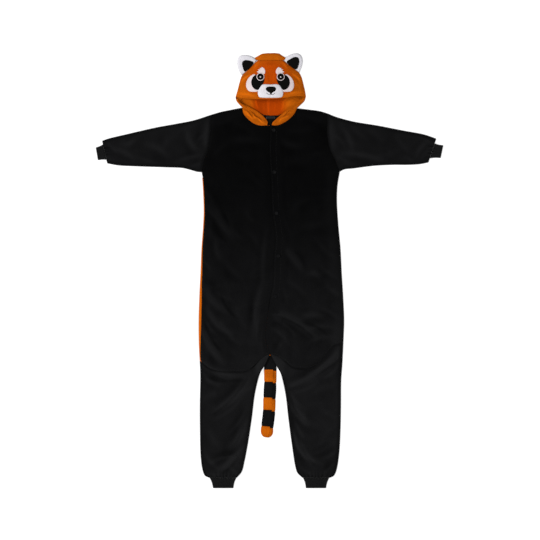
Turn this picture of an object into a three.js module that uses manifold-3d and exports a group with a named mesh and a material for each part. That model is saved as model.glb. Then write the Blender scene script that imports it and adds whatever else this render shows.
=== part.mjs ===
// Adult red panda onesie laid face up on a flat surface, in millimetres, +Z up.
// +Y runs from the ankles to the hood, +X to the wearer's left. The wearer's right is at -X.
// Every cloth piece is a closed wall between an outer and an inner grid of points.
import * as THREE from "three";
import { mergeVertices } from "three/addons/utils/BufferGeometryUtils.js";
import Module from "manifold-3d";

const wasm = await Module();
wasm.setup();

// ---------------------------------------------------------------- sizes
const CLOTH = 2.4; // fleece with its nap
const SEAM = 0.3; // gap between two pieces that are sewn together
const FELT = 1.2; // face patches
const IRIS = 0.9; // black disc on the white of an eye
const MUZZLE_PAD = 2.6; // padded white muzzle
const EDGE_RADIUS = 3.4; // roll of a folded edge: half the height of two layers
const LOFT = 1.6; // how far the front stands off the back in the middle of a panel
const SIDE_WRAP = 8; // the orange back rolls this far over the right side onto the front
const LAP = 30; // the left front lies over the right front
const LAP_END = -125; // the lap stops here and both fronts meet in a seam
const TAIL_HALF_WIDTH = 23;
const TAIL_HEIGHT = 30;
const TAIL_ROOT_HEIGHT = 5.2; // unstuffed end that is sewn under the seat
const TAIL_X = 3;
const BUTTON_RADIUS = 7.5;
const BUTTON_HEIGHT = 2.6;
const HOOD_EDGE = 9; // height of the hood's side seam above the surface
const HOOD_RISE = 34; // the brim stands this much higher in its middle
const CROWN_RISE = 13;

// ---------------------------------------------------------------- plan lines
// Each row is x, y on the surface. A line runs from the hood's end of the garment to its ankles'
// end, or from the wearer's right or from the body outwards.
const ARMHOLE_RIGHT = [
  [-238, 639],
  [-238, 601],
  [-240, 568],
  [-244, 535],
  [-250, 503],
  [-258, 476],
  [-268, 452],
  [-277, 404],
];
const ARMHOLE_LEFT = [
  [237, 644],
  [236, 601],
  [235, 568],
  [239, 535],
  [246, 503],
  [257, 476],
  [270, 450],
  [287, 406],
];
const SIDE_RIGHT = [
  [-277, 404],
  [-270, 340],
  [-266, 248],
  [-268, 191],
  [-275, 92],
  [-280, -6],
  [-284, -105],
  [-288, -203],
  [-286, -300],
  [-284, -367],
];
const SIDE_LEFT = [
  [287, 406],
  [278, 351],
  [275, 289],
  [280, 191],
  [286, 92],
  [292, -6],
  [300, -105],
  [304, -203],
  [301, -293],
];
const SHOULDER_RIGHT = [
  [-238, 639],
  [-200, 650],
  [-162, 658],
  [-111, 668],
];
const SHOULDER_LEFT = [
  [237, 644],
  [207, 653],
  [158, 660],
  [112, 665],
];
const NECK_RIGHT = [
  [-111, 668],
  [-110, 655],
  [-105, 641],
  [-91, 624],
  [-72, 608],
  [-52, 598],
  [-30, 594],
  [0, 597],
];
const NECK_LEFT = [
  [112, 665],
  [104, 647],
  [88, 628],
  [71, 614],
  [48, 601],
  [29, 595],
  [0, 597],
];
const NAPE = [
  [-111, 668],
  [-68, 652],
  [-24, 639],
  [5, 636],
  [35, 637],
  [74, 650],
  [112, 665],
];
const CENTRE = [
  [0, 597],
  [0, 547],
  [-2, 510],
  [0, 449],
  [5, 371],
  [8, 297],
  [12, 230],
  [20, 175],
  [24, 129],
  [17, 41],
  [14, -59],
  [2, -121],
  [-10, -203],
  [-15, -285],
  [2, -338],
];
const THIGH_RIGHT = [
  [-284, -367],
  [-268, -382],
  [-244, -400],
  [-203, -410],
  [-146, -412],
  [-92, -408],
  [-51, -377],
  [-27, -355],
  [2, -338],
];
const THIGH_LEFT = [
  [301, -293],
  [277, -298],
  [256, -311],
  [228, -346],
  [201, -380],
  [168, -398],
  [129, -399],
  [92, -392],
  [62, -368],
  [30, -350],
  [2, -338],
];
const OUTSEAM_RIGHT = [
  [-284, -367],
  [-281, -424],
  [-284, -556],
  [-283, -654],
  [-281, -728],
  [-277, -777],
  [-266, -822],
  [-247, -846],
];
const INSEAM_RIGHT = [
  [2, -338],
  [-10, -367],
  [-23, -392],
  [-39, -420],
  [-59, -498],
  [-73, -605],
  [-88, -703],
  [-102, -777],
  [-114, -822],
  [-134, -846],
];
const OUTSEAM_LEFT = [
  [301, -293],
  [298, -375],
  [293, -449],
  [292, -556],
  [290, -654],
  [285, -744],
  [276, -802],
  [268, -826],
  [247, -846],
];
const INSEAM_LEFT = [
  [2, -338],
  [16, -367],
  [31, -392],
  [47, -420],
  [67, -498],
  [80, -605],
  [93, -703],
  [109, -802],
  [117, -824],
  [134, -846],
];
const SLEEVE_FOLD_RIGHT = [
  [-238, 639],
  [-310, 614],
  [-383, 599],
  [-463, 587],
  [-581, 560],
  [-660, 541],
  [-685, 532],
];
const SLEEVE_SEAM_RIGHT = [
  [-277, 404],
  [-298, 409],
  [-326, 417],
  [-357, 423],
  [-424, 426],
  [-542, 430],
  [-620, 434],
  [-664, 441],
];
const SLEEVE_FOLD_LEFT = [
  [237, 644],
  [272, 630],
  [343, 611],
  [445, 594],
  [547, 574],
  [632, 558],
  [682, 541],
];
const SLEEVE_SEAM_LEFT = [
  [287, 406],
  [304, 418],
  [343, 422],
  [425, 432],
  [506, 436],
  [564, 436],
  [615, 439],
  [650, 445],
];

// Rib cuffs: the four corners of each, from its sewn end to its free end.
const cuffTable = (rows) => rows.map(([name, ribs, start, end]) => ({ name, ribs, start, end }));
const CUFFS = cuffTable([
  // name             ribs  sewn end                          free end
  ["cuff_wrist_right", 15, [[-682, 517], [-667.7, 455]], [[-711, 505], [-702, 453]]],
  ["cuff_wrist_left", 15, [[676, 521], [656, 461]], [[711, 514], [700, 462]]],
  ["cuff_ankle_right", 22, [[-245, -846.4], [-136, -846.4]], [[-231, -893], [-148, -893]]],
  ["cuff_ankle_left", 22, [[137, -846.4], [244, -846.4]], [[149, -893], [231, -893]]],
]);

// Hood outline seen from above.
const HOOD_SIDE_RIGHT = [
  [-48, 861],
  [-64, 847],
  [-97, 814],
  [-113, 798],
  [-123, 770],
  [-131, 739],
  [-139, 712],
];
const HOOD_SIDE_LEFT = [
  [58, 861],
  [71, 849],
  [107, 822],
  [122, 810],
  [132, 790],
  [138, 768],
  [146, 733],
  [149, 712],
];
const JAW_RIGHT = [
  [-139, 712],
  [-138, 703],
  [-134, 693],
  [-124, 681],
  [-111, 668],
];
const JAW_LEFT = [
  [149, 712],
  [147, 706],
  [143, 695],
  [127, 679],
  [112, 665],
];
const BRIM = [
  [-139, 712],
  [-110, 706],
  [-55, 702],
  [0, 702],
  [34, 704],
  [67, 708],
  [106, 714],
  [149, 712],
];
const BAND_INNER_RIGHT = [
  [-127, 706],
  [-120, 691],
  [-87, 674],
  [-52, 654],
  [-30, 637],
  [-14, 620],
  [-3, 602],
];
const BAND_INNER_LEFT = [
  [135, 705],
  [128, 692],
  [112, 681],
  [67, 654],
  [40, 633],
  [19, 614],
  [6, 602],
];
const BACK_SEAM_X = -4;

// Largest folds of the cloth: a line from x0,y0 to x1,y1, its half width and its height.
const foldTable = (rows) =>
  rows.map(([name, x0, y0, x1, y1, width, height]) => ({ name, x0, y0, x1, y1, width, height }));
const FOLDS = foldTable([
  // name             x0    y0    x1    y1  width height
  ["chest right", -182, 527, -20, 535, 16, 2.6],
  ["chest left", 41, 541, 133, 510, 15, 3.2],
  ["waist valley right", -244, 352, -209, 281, 14, -1.6],
  ["waist ridge right", -219, 245, -146, 141, 15, 4.6],
  ["waist valley inner", -209, 281, -132, 158, 11, -1.6],
  ["hip ridge right", -219, 129, -203, 51, 13, 3.2],
  ["hip valley right", -264, -6, -203, -96, 15, -1.6],
  ["hip ridge left", 57, 92, 133, 6, 15, 4.2],
  ["hip valley left", 96, 88, 148, 16, 12, -1.6],
  ["hip tuck left", 162, -10, 203, -18, 13, 3.6],
  ["closure ridge", -10, 170, -25, -35, 10, 2.4],
  ["closure ridge low", -25, -35, -62, -273, 12, 3.4],
  ["seat ridge right", -255, -80, -189, -162, 15, 4.2],
  ["seat valley right", -271, -133, -244, -234, 13, -1.6],
  ["seat ridge inner", -255, -150, -156, -256, 13, 4.4],
  ["thigh ridge right", -260, -266, -189, -376, 14, 4.6],
  ["seat ridge left", 14, -168, 184, -260, 15, 5.2],
  ["seat valley left", 124, -211, 191, -240, 13, -1.6],
  ["seat ridge high", 133, -191, 215, -182, 12, 3.2],
  ["thigh roll right", -279, -375, -106, -431, 15, 3.6],
  ["knee ridge right", -90, -459, -205, -564, 16, 4.8],
  ["shin ridge right", -90, -607, -156, -728, 16, 4.2],
  ["ankle ridge right", -106, -722, -205, -815, 15, 5.2],
  ["thigh ridge left", 289, -322, 223, -400, 15, 4.6],
  ["thigh roll left", 223, -400, 92, -469, 15, 5.4],
  ["knee ridge left", 92, -525, 178, -634, 15, 4.8],
  ["shin valley left", 158, -564, 190, -656, 12, -1.6],
  ["ankle ridge left", 96, -662, 174, -777, 15, 5.0],
  ["armhole roll right", -246, 610, -256, 500, 17, 4.2],
  ["armhole roll left", 246, 610, 262, 500, 17, 4.2],
  ["shoulder crease right", -337, 568, -291, 486, 14, 3.8],
  ["elbow crease right", -500, 520, -420, 478, 15, 3.0],
  ["cuff crease right", -628, 500, -553, 461, 12, 3.4],
  ["cuff crease high right", -605, 516, -553, 535, 12, 2.6],
  ["shoulder crease left", 300, 590, 342, 500, 14, 3.6],
  ["forearm crease left", 303, 482, 473, 449, 13, 3.8],
  ["cuff crease left", 652, 535, 603, 470, 12, 3.0],
]);

// ---------------------------------------------------------------- small helpers
const lerp = (a, b, t) => a + (b - a) * t;
const clamp = (t) => Math.min(1, Math.max(0, t));
const smooth = (t) => clamp(t) ** 2 * (3 - 2 * clamp(t));
const span = (n) => Array.from({ length: n + 1 }, (_, i) => i / n);

// Smooth line through the rows of a plan table; t runs 0 to 1 by length.
function line(rows) {
  const points = rows.map(([x, y]) => new THREE.Vector3(x, y, 0));
  const path = new THREE.CatmullRomCurve3(points, false, "centripetal");
  path.arcLengthDivisions = 300;
  return (t) => {
    const p = path.getPointAt(clamp(t));
    return [p.x, p.y];
  };
}

// Two lines end to end; the first takes the share `cut` of t.
const chain = (first, second, cut) => (t) =>
  t <= cut ? first(t / cut) : second((t - cut) / (1 - cut));

// A line led to a given end point along its last part.
const pinned = (path, end, t) => path(t).map((value, k) => value + (end[k] - path(1)[k]) * t ** 4);

// Plan point (u, v) inside four border lines: top and bottom run with u, left and right with v.
function coons(top, bottom, left, right) {
  const [p00, p10, p01, p11] = [top(0), top(1), bottom(0), bottom(1)];
  return (u, v) =>
    [0, 1].map(
      (k) =>
        (1 - v) * top(u)[k] +
        v * bottom(u)[k] +
        (1 - u) * left(v)[k] +
        u * right(v)[k] -
        (1 - u) * (1 - v) * p00[k] -
        u * (1 - v) * p10[k] -
        (1 - u) * v * p01[k] -
        u * v * p11[k],
    );
}

// x of a table's line at height y (tables run from high y to low y).
function xAt(rows, y) {
  const found = rows.findIndex((row, k) => k > 0 && row[1] <= y);
  const i = found < 0 ? rows.length - 1 : found;
  const [x0, y0] = rows[i - 1];
  const [x1, y1] = rows[i];
  return lerp(x0, x1, clamp((y - y0) / (y1 - y0 || 1)));
}

// Height added by the folds at a plan point: a soft bell across each line, fading at its ends.
function foldHeight(x, y) {
  let height = 0;
  for (const fold of FOLDS) {
    const dx = fold.x1 - fold.x0;
    const dy = fold.y1 - fold.y0;
    const t = ((x - fold.x0) * dx + (y - fold.y0) * dy) / (dx * dx + dy * dy);
    const near = clamp(t);
    const away = Math.hypot(x - fold.x0 - near * dx, y - fold.y0 - near * dy);
    const fade = 0.35 + 0.65 * Math.sin(Math.PI * near);
    height += fold.height * fade * Math.exp(-((away / fold.width) ** 2));
  }
  return height;
}

// The seat and the legs arch over the flat root of the tail that lies under them.
// The front's arch is wider by `spread`, so that it clears the back's.
function tailArch(x, y, spread = 0) {
  const across = 1 - smooth((Math.abs(x - TAIL_X) - 38 - spread) / 34);
  const along = smooth((-212 + spread - y) / 48) * (1 - smooth((-400 - y) / 48));
  return (TAIL_ROOT_HEIGHT + SEAM + 0.3) * across * along;
}

// ---------------------------------------------------------------- walls
// A closed wall between two grids of [x, y, z] rows. A ring joins its last column to its first.
function wall(outer, inner, ring = false) {
  const rows = outer.length;
  const cols = outer[0].length;
  const last = ring ? cols : cols - 1;
  const positions = [...outer.flat(), ...inner.flat()].flat();
  const index = [];
  const at = (side, i, j) => side * rows * cols + i * cols + (j % cols);
  const quad = (a, b, c, d) => index.push(a, b, c, a, c, d);
  for (let i = 0; i < rows - 1; i++)
    for (let j = 0; j < last; j++) {
      quad(at(0, i, j), at(0, i + 1, j), at(0, i + 1, j + 1), at(0, i, j + 1));
      quad(at(1, i, j + 1), at(1, i + 1, j + 1), at(1, i + 1, j), at(1, i, j));
    }
  for (let j = 0; j < last; j++) {
    quad(at(0, 0, j), at(0, 0, j + 1), at(1, 0, j + 1), at(1, 0, j));
    quad(at(0, rows - 1, j + 1), at(0, rows - 1, j), at(1, rows - 1, j), at(1, rows - 1, j + 1));
  }
  if (!ring)
    for (let i = 0; i < rows - 1; i++) {
      quad(at(0, i + 1, 0), at(0, i, 0), at(1, i, 0), at(1, i + 1, 0));
      quad(at(0, i, cols - 1), at(0, i + 1, cols - 1), at(1, i + 1, cols - 1), at(1, i, cols - 1));
    }
  return facingOut(positions, index);
}

// A filled body through closed sections, each a list of [x, y, z], with flat ends.
function loft(sections) {
  const count = sections[0].length;
  const positions = sections.flat(2);
  const index = [];
  sections.slice(1).forEach((_, i) => {
    for (let j = 0; j < count; j++) {
      const [a, b] = [i * count + j, i * count + ((j + 1) % count)];
      index.push(a, b, b + count, a, b + count, a + count);
    }
  });
  const end = (sections.length - 1) * count;
  for (let j = 1; j < count - 1; j++) {
    index.push(0, j + 1, j);
    index.push(end, end + j, end + j + 1);
  }
  return facingOut(positions, index);
}

// Geometry from points and triangles, turned round if its faces point inwards.
function facingOut(positions, index) {
  let volume = 0;
  const point = (i) => new THREE.Vector3(...positions.slice(3 * i, 3 * i + 3));
  for (let i = 0; i < index.length; i += 3)
    volume += point(index[i]).dot(point(index[i + 1]).cross(point(index[i + 2])));
  if (volume < 0)
    for (let i = 0; i < index.length; i += 3)
      [index[i + 1], index[i + 2]] = [index[i + 2], index[i + 1]];
  const geometry = new THREE.BufferGeometry();
  geometry.setAttribute("position", new THREE.Float32BufferAttribute(positions, 3));
  geometry.setIndex(index);
  return geometry;
}

function toSolid(geometry) {
  const bare = geometry.clone();
  bare.deleteAttribute("normal");
  bare.deleteAttribute("uv");
  const merged = mergeVertices(bare, 1e-4);
  return new wasm.Manifold(
    new wasm.Mesh({
      numProp: 3,
      vertProperties: merged.attributes.position.array,
      triVerts: new Uint32Array(merged.index.array),
    }),
  );
}

function toGeometry(solid) {
  const mesh = solid.getMesh();
  const geometry = new THREE.BufferGeometry();
  geometry.setAttribute("position", new THREE.BufferAttribute(mesh.vertProperties, 3));
  geometry.setIndex(new THREE.BufferAttribute(mesh.triVerts, 1));
  return geometry;
}

// ---------------------------------------------------------------- scene graph
const garment = new THREE.Group();
const COLOURS = {
  black: [0x0d0d0e, 0.95],
  rib: [0x1a1a1b, 0.9],
  orange: [0xb85f16, 0.95],
  orange_deep: [0xa34a0a, 0.95],
  white: [0xe9e6ea, 0.9],
  felt_black: [0x121112, 0.9],
  button: [0x101012, 0.35],
};

function add(name, geometry, colour) {
  const [hex, roughness] = COLOURS[colour];
  const material = new THREE.MeshStandardMaterial({ color: hex, roughness, metalness: 0 });
  const mesh = new THREE.Mesh(geometry, material);
  mesh.name = name;
  garment.add(mesh);
}

// ---------------------------------------------------------------- body
const ARM_SHARE = 0.24; // share of a side border taken by the armhole
const NECK_AT = 0.46; // share of a front's top border taken by the shoulder
const FIRST = 0.05; // the first full column of a front panel
const FRONT_COLUMNS = [
  ...[0, 0.013, FIRST, 0.12, 0.2, 0.29, 0.38],
  ...[NECK_AT, 0.57, 0.68, 0.78, 0.86, 0.92, 0.96, 1],
];
const BACK_COLUMNS = [0, 0.013, 0.2, 0.47, 0.72, 0.86, 0.92, 1];
const ARM_STEPS_FRONT = span(6);
const ARM_STEPS_BACK = span(3);
const FRONT_ROWS = [
  ...ARM_STEPS_FRONT.map((t) => t * ARM_SHARE),
  ...span(20).slice(1).map((t) => lerp(ARM_SHARE, 1, t)),
];
const BACK_ROWS = [
  ...ARM_STEPS_BACK.map((t) => t * ARM_SHARE),
  ...[0.36, 0.48, 0.6, 0.72, 0.8, 0.85, 0.89, 0.93, 0.965, 1],
];
const UNDERARM_Y = 404;
const WRAP_RAMP = 36; // the wrap of the back grows over this length under the arm

// How much of the wrap has formed at height y, 0 to 1.
const wrapShare = (y) => clamp((UNDERARM_Y - y) / WRAP_RAMP);

// Height that lifts the left front over the right front along the closure.
function lapLift(x, y) {
  const across = 1 - smooth((x - xAt(CENTRE, y) - LAP - 12) / 22);
  const along = 1 - smooth((LAP_END - 20 - y) / 26);
  return (CLOTH + SEAM + 0.3) * across * along;
}

// Inner height of a front panel: low at its outer border, puffed just inside it, creased by folds.
function frontInside(x, y, fromEdge, isLeft) {
  const toCentre = isLeft ? x - xAt(CENTRE, y) : xAt(CENTRE, y) - x;
  const quiet = y > LAP_END - 50 && isLeft ? LAP + 6 : 4;
  const free = smooth((toCentre - quiet) / 22);
  const puff = LOFT + 1.4 * Math.exp(-(((fromEdge - 24) / 20) ** 2));
  const rise = Math.max(0, (puff + foldHeight(x, y)) * free) * smooth(fromEdge / 14);
  return CLOTH + SEAM + tailArch(x, y, 22) + rise + (isLeft ? lapLift(x, y) : 0);
}

function frontPanel(isLeft) {
  const inward = isLeft ? -1 : 1;
  const armhole = line(isLeft ? ARMHOLE_LEFT : ARMHOLE_RIGHT);
  const side = line(isLeft ? SIDE_LEFT : SIDE_RIGHT);
  const shoulder = line(isLeft ? SHOULDER_LEFT : SHOULDER_RIGHT);
  const neck = line(isLeft ? NECK_LEFT : NECK_RIGHT);
  const middle = line(CENTRE);
  const closure = (t) => {
    const [x, y] = middle(t);
    if (isLeft) return [x, y];
    return [x + LAP * clamp((y - LAP_END) / 12), y];
  };
  const top = chain(shoulder, (t) => pinned(neck, closure(0), t), NECK_AT);
  const plan = coons(
    top,
    line(isLeft ? THIGH_LEFT : THIGH_RIGHT),
    chain(armhole, side, ARM_SHARE),
    closure,
  );
  const outer = [];
  const inner = [];
  for (const v of FRONT_ROWS) {
    const width = Math.abs(plan(1, v)[0] - plan(0, v)[0]);
    const wrap = isLeft || v <= ARM_SHARE ? 0 : wrapShare(plan(0, v)[1]);
    const slope = Math.abs(plan(0.02, v)[0] - plan(0, v)[0]) / 0.02;
    const inset = ((SIDE_WRAP + SEAM + 0.2) * wrap) / slope;
    const outerRow = [];
    const innerRow = [];
    for (const u of FRONT_COLUMNS) {
      const [x, y] = plan(u < FIRST ? lerp(inset, FIRST, u / FIRST) : u, v);
      const atArmhole = v <= ARM_SHARE && u === 0;
      const atNeck = v === 0 && u >= NECK_AT;
      const atSeam = u === 1 && y < LAP_END;
      const fromSide = v <= ARM_SHARE ? 60 : Math.max(0, u - inset) * width;
      const fromEdge = Math.min(fromSide, u < NECK_AT ? v * 1000 : 60);
      const onRoll = (2 * EDGE_RADIUS - 2 * CLOTH - SEAM) * wrap * (1 - smooth(fromSide / 16));
      const low = frontInside(x, y, fromEdge, isLeft) + onRoll;
      const thinned = fromEdge < 1 && wrap === 0 ? 1.1 : 0;
      const px = x + inward * SEAM * (atArmhole ? 1 : 0) - inward * SEAM * 0.5 * (atSeam ? 1 : 0);
      const py = y + SEAM * (v === 1 ? 1 : 0) - 0.8 * (atNeck ? 1 : 0);
      outerRow.push([px, py, low + CLOTH - thinned]);
      innerRow.push([px, py, low]);
    }
    outer.push(outerRow);
    inner.push(innerRow);
  }
  return wall(outer, inner);
}

// The back lies on the surface. Its right side rolls up and over onto the front.
function backPanel() {
  const shoulderRight = line(SHOULDER_RIGHT);
  const shoulderLeft = line(SHOULDER_LEFT);
  const nape = line(NAPE);
  const thighRight = line(THIGH_RIGHT);
  const thighLeft = line(THIGH_LEFT);
  const top = (u) => {
    const s = u < 0.5 ? 2 * u : 2 - 2 * u;
    if (s < NECK_AT) return (u < 0.5 ? shoulderRight : shoulderLeft)(s / NECK_AT);
    const alongNape = (0.5 * (s - NECK_AT)) / (1 - NECK_AT);
    return nape(u < 0.5 ? alongNape : 1 - alongNape);
  };
  const plan = coons(
    top,
    (u) => (u < 0.5 ? thighRight(2 * u) : thighLeft(2 - 2 * u)),
    chain(line(ARMHOLE_RIGHT), line(SIDE_RIGHT), ARM_SHARE),
    chain(line(ARMHOLE_LEFT), line(SIDE_LEFT), ARM_SHARE),
  );
  const columns = [
    ...BACK_COLUMNS.filter((u) => u !== BACK_COLUMNS[1]).map((u) => u / 2),
    ...BACK_COLUMNS.slice(0, -1).reverse().map((u) => 1 - u / 2),
  ];
  const outer = [];
  const inner = [];
  for (const v of BACK_ROWS) {
    const width = Math.abs(plan(1, v)[0] - plan(0, v)[0]);
    const inset = v <= ARM_SHARE ? 0 : (EDGE_RADIUS + 2) / width;
    const outerRow = [];
    const innerRow = [];
    columns.forEach((u, j) => {
      const [x, y] = plan(u < 0.05 ? lerp(inset, 0.05, u / 0.05) : u, v);
      const atRight = v <= ARM_SHARE && j === 0 ? 1 : 0;
      const atLeft = v <= ARM_SHARE && j === columns.length - 1 ? 1 : 0;
      const half = u < 0.5 ? 2 * u : 2 - 2 * u;
      const px = x + SEAM * (atRight - atLeft);
      const atThigh = v === 1 ? SEAM * (j === 0 ? 5 : 1) : 0;
      const py = y + atThigh - (v === 0 && half >= NECK_AT ? 3.5 : 0);
      const low = tailArch(x, y);
      const rolled = j === columns.length - 1 && v > ARM_SHARE ? 1.1 : 0;
      outerRow.push([px, py, low + CLOTH]);
      innerRow.push([px, py, low + rolled]);
    });
    outer.push(outerRow);
    inner.push(innerRow);
  }
  return toSolid(wall(outer, inner)).add(toSolid(sideRoll()));
}

// The rolled side of the back: along the floor, round the fold and onto the top.
function sideRoll() {
  const side = line(SIDE_RIGHT);
  const bends = [-60, -20, 20, 60];
  const outer = [];
  const inner = [];
  for (const t of span(14)) {
    const [x, y] = side(lerp(0.042, 1, t));
    const reach = Math.max(EDGE_RADIUS + 0.6, SIDE_WRAP * wrapShare(y + 6));
    const drop = clamp((-340 - y) / 27);
    const put = (d, z) => [x + d, y - drop * d * (z > EDGE_RADIUS ? 0.93 : 0.62) + 0.4, z];
    const arc = (radius) =>
      bends.map((angle) => {
        const a = (angle * Math.PI) / 180;
        return put(EDGE_RADIUS - radius * Math.cos(a), EDGE_RADIUS + radius * Math.sin(a));
      });
    const section = (inset) => [
      put(15, inset),
      put(EDGE_RADIUS, inset),
      ...arc(EDGE_RADIUS - inset),
      put(EDGE_RADIUS, 2 * EDGE_RADIUS - inset),
      put(reach, 2 * EDGE_RADIUS - inset),
    ];
    outer.push(section(0));
    inner.push(section(CLOTH));
  }
  return wall(outer, inner);
}

add("front_right", frontPanel(false), "black");
add("front_left", frontPanel(true), "black");
add("back", toGeometry(backPanel()), "orange");

// ---------------------------------------------------------------- sleeves and legs
// A tube laid flat: a floor layer, a top layer raised by `rise`, and a roll at each side.
// plan(s, t): s runs along the tube from its sewn end, t across it.
function flatTube(plan, stations, topSteps, floorSteps, rise) {
  const bends = [30, -30];
  const within = EDGE_RADIUS - CLOTH;
  const outer = [];
  const inner = [];
  for (const s of stations) {
    const [a, b] = [plan(s, 0), plan(s, 1)];
    const width = Math.hypot(b[0] - a[0], b[1] - a[1]);
    const outerRow = [];
    const innerRow = [];
    const layer = (t, zOuter, zInner) => {
      const [x, y] = plan(s, t);
      outerRow.push([x, y, zOuter + tailArch(x, y)]);
      innerRow.push([x, y, zInner + tailArch(x, y)]);
    };
    const roll = (angle, atEnd) => {
      const rad = (angle * Math.PI) / 180;
      const arch = tailArch(...plan(s, atEnd ? 1 : 0));
      const place = (radius) => {
        const d = (EDGE_RADIUS - radius * Math.cos(rad)) / width;
        const [x, y] = plan(s, atEnd ? 1 - d : d);
        return [x, y, EDGE_RADIUS + radius * Math.sin(rad) + arch];
      };
      outerRow.push(place(EDGE_RADIUS));
      innerRow.push(place(within));
    };
    const edge = EDGE_RADIUS / width;
    [edge, ...topSteps, 1 - edge].forEach((t, j) => {
      const [x, y] = plan(s, t);
      const fromEdge = Math.min(t, 1 - t) * width;
      const lift = Math.max(-1.3, rise(x, y, s, j)) * smooth((fromEdge - EDGE_RADIUS) / 14);
      layer(t, 2 * EDGE_RADIUS + lift, 2 * EDGE_RADIUS + lift - CLOTH);
    });
    bends.forEach((angle) => roll(angle, true));
    [1 - edge, ...[...floorSteps].reverse(), edge].forEach((t) => layer(t, 0, CLOTH));
    [...bends].reverse().forEach((angle) => roll(angle, false));
    outer.push(outerRow);
    inner.push(innerRow);
  }
  return wall(outer, inner, true);
}

// Small gathers where a wide tube is drawn into its rib cuff.
const gather = (s, j) => 1.5 * (j % 2 ? 1 : -0.7) * smooth((s - 0.93) / 0.05);

function leg(isLeft) {
  const path = coons(
    line(isLeft ? THIGH_LEFT : THIGH_RIGHT),
    (t) => [lerp(isLeft ? 247 : -247, isLeft ? 134 : -134, t), -846],
    line(isLeft ? OUTSEAM_LEFT : OUTSEAM_RIGHT),
    line(isLeft ? INSEAM_LEFT : INSEAM_RIGHT),
  );
  const stations = [0, 0.04, 0.1, 0.17, 0.25, 0.34, 0.43, 0.52, 0.61, 0.7, 0.79, 0.87, 0.93, 0.97, 1];
  const top = FRONT_COLUMNS.filter((u) => u >= FIRST && u < 1);
  const floor = BACK_COLUMNS.filter((u) => u > 0.1 && u < 1);
  return flatTube(
    (s, t) => path(t, s),
    stations,
    top,
    floor,
    (x, y, s, j) => LOFT + foldHeight(x, y) + gather(s, j),
  );
}

function sleeve(isLeft) {
  const fold = line(isLeft ? SLEEVE_FOLD_LEFT : SLEEVE_FOLD_RIGHT);
  const seam = line(isLeft ? SLEEVE_SEAM_LEFT : SLEEVE_SEAM_RIGHT);
  const path = coons(
    line(isLeft ? ARMHOLE_LEFT : ARMHOLE_RIGHT),
    (t) => fold(1).map((value, k) => lerp(value, seam(1)[k], t)),
    fold,
    seam,
  );
  const stations = [0, 0.04, 0.1, 0.18, 0.28, 0.39, 0.51, 0.63, 0.74, 0.84, 0.92, 0.965, 1];
  return flatTube(
    (s, t) => path(t, s),
    stations,
    ARM_STEPS_FRONT.slice(1, -1),
    ARM_STEPS_BACK.slice(1, -1),
    (x, y, s, j) => LOFT + foldHeight(x, y) + gather(s, j),
  );
}

add("leg_right", leg(false), "black");
add("leg_left", leg(true), "black");
add("sleeve_right", sleeve(false), "black");
add("sleeve_left", sleeve(true), "black");

// A rib cuff: a plain ring inside, ribs raised on its upper outer face.
function ribCuff({ ribs, start, end }) {
  const corner = (a, b, t) => [lerp(a[0], b[0], t), lerp(a[1], b[1], t)];
  const plan = (s, t) => {
    const [p, q] = [corner(start[0], start[1], t), corner(end[0], end[1], t)];
    return corner(p, q, s);
  };
  const steps = span(2 * ribs).slice(1, -1).filter((t) => t > 0.05 && t < 0.95);
  const rise = (x, y, s, j) => (j % 2 ? 0.35 : -0.45);
  return flatTube(plan, [0, 1], steps, [0.5], rise);
}

for (const cuff of CUFFS) add(cuff.name, ribCuff(cuff), "rib");

// ---------------------------------------------------------------- hood
const HOOD_TOP = 861;
const HOOD_BACK_COLUMNS = [0, 0.03, 0.08, 0.2, 0.4, 0.6, 0.8, 0.93, 1];
const FACE_COLUMNS = [-1, -0.96, -0.86, -0.7, -0.5, -0.25, 0, 0.25, 0.5, 0.7, 0.86, 0.96, 1];

// Half of the hood's back: it lies on the surface, curls up at its side, with a raised centre seam.
function hoodBack(isLeft) {
  const away = isLeft ? 1 : -1;
  const side = chain(
    line(isLeft ? HOOD_SIDE_LEFT : HOOD_SIDE_RIGHT),
    line(isLeft ? JAW_LEFT : JAW_RIGHT),
    0.76,
  );
  const seam = BACK_SEAM_X + away * SEAM * 0.5;
  const nape = line(NAPE);
  const atSeam = 0.47;
  const plan = coons(
    (u) => [lerp(side(0)[0], seam, u), HOOD_TOP],
    (u) => {
      const [x, y] = nape(isLeft ? lerp(1, atSeam, u) : lerp(0, atSeam, u));
      return [u === 1 ? seam : x, y];
    },
    side,
    (v) => [seam, lerp(HOOD_TOP, nape(atSeam)[1], v)],
  );
  const outer = [];
  const inner = [];
  for (const v of [0, 0.08, 0.18, 0.3, 0.42, 0.54, 0.66, 0.76, 0.85, 0.93, 1]) {
    const width = Math.abs(plan(1, v)[0] - plan(0, v)[0]);
    const row = HOOD_BACK_COLUMNS.map((u) => {
      const [x, y] = plan(u, v);
      const curl = 6 * (1 - clamp((u * width) / 10)) ** 2;
      return { x, y, curl, ridge: 1.4 * Math.exp(-(((x - seam) / 6) ** 2)) * (1 - v ** 8) };
    });
    outer.push(row.map(({ x, y, curl, ridge }) => [x, y, curl + CLOTH + ridge]));
    inner.push(row.map(({ x, y, curl }) => [x, y, curl]));
  }
  return wall(outer, inner);
}

// Outer height of the domed face panel at plan point (x, y).
function faceTop(x, y) {
  const left = xAt(HOOD_SIDE_RIGHT, Math.min(y, HOOD_TOP - 0.5));
  const right = xAt(HOOD_SIDE_LEFT, Math.min(y, HOOD_TOP - 0.5));
  const s = clamp(Math.abs((x - (left + right) / 2) / ((right - left) / 2)));
  const down = clamp((HOOD_TOP - y) / (HOOD_TOP - 702));
  const rise = lerp(CROWN_RISE, HOOD_RISE, Math.sin((down * Math.PI) / 2) ** 1.2);
  return HOOD_EDGE + CLOTH + rise * (1 - s ** 2.3) ** 0.75;
}

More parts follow.
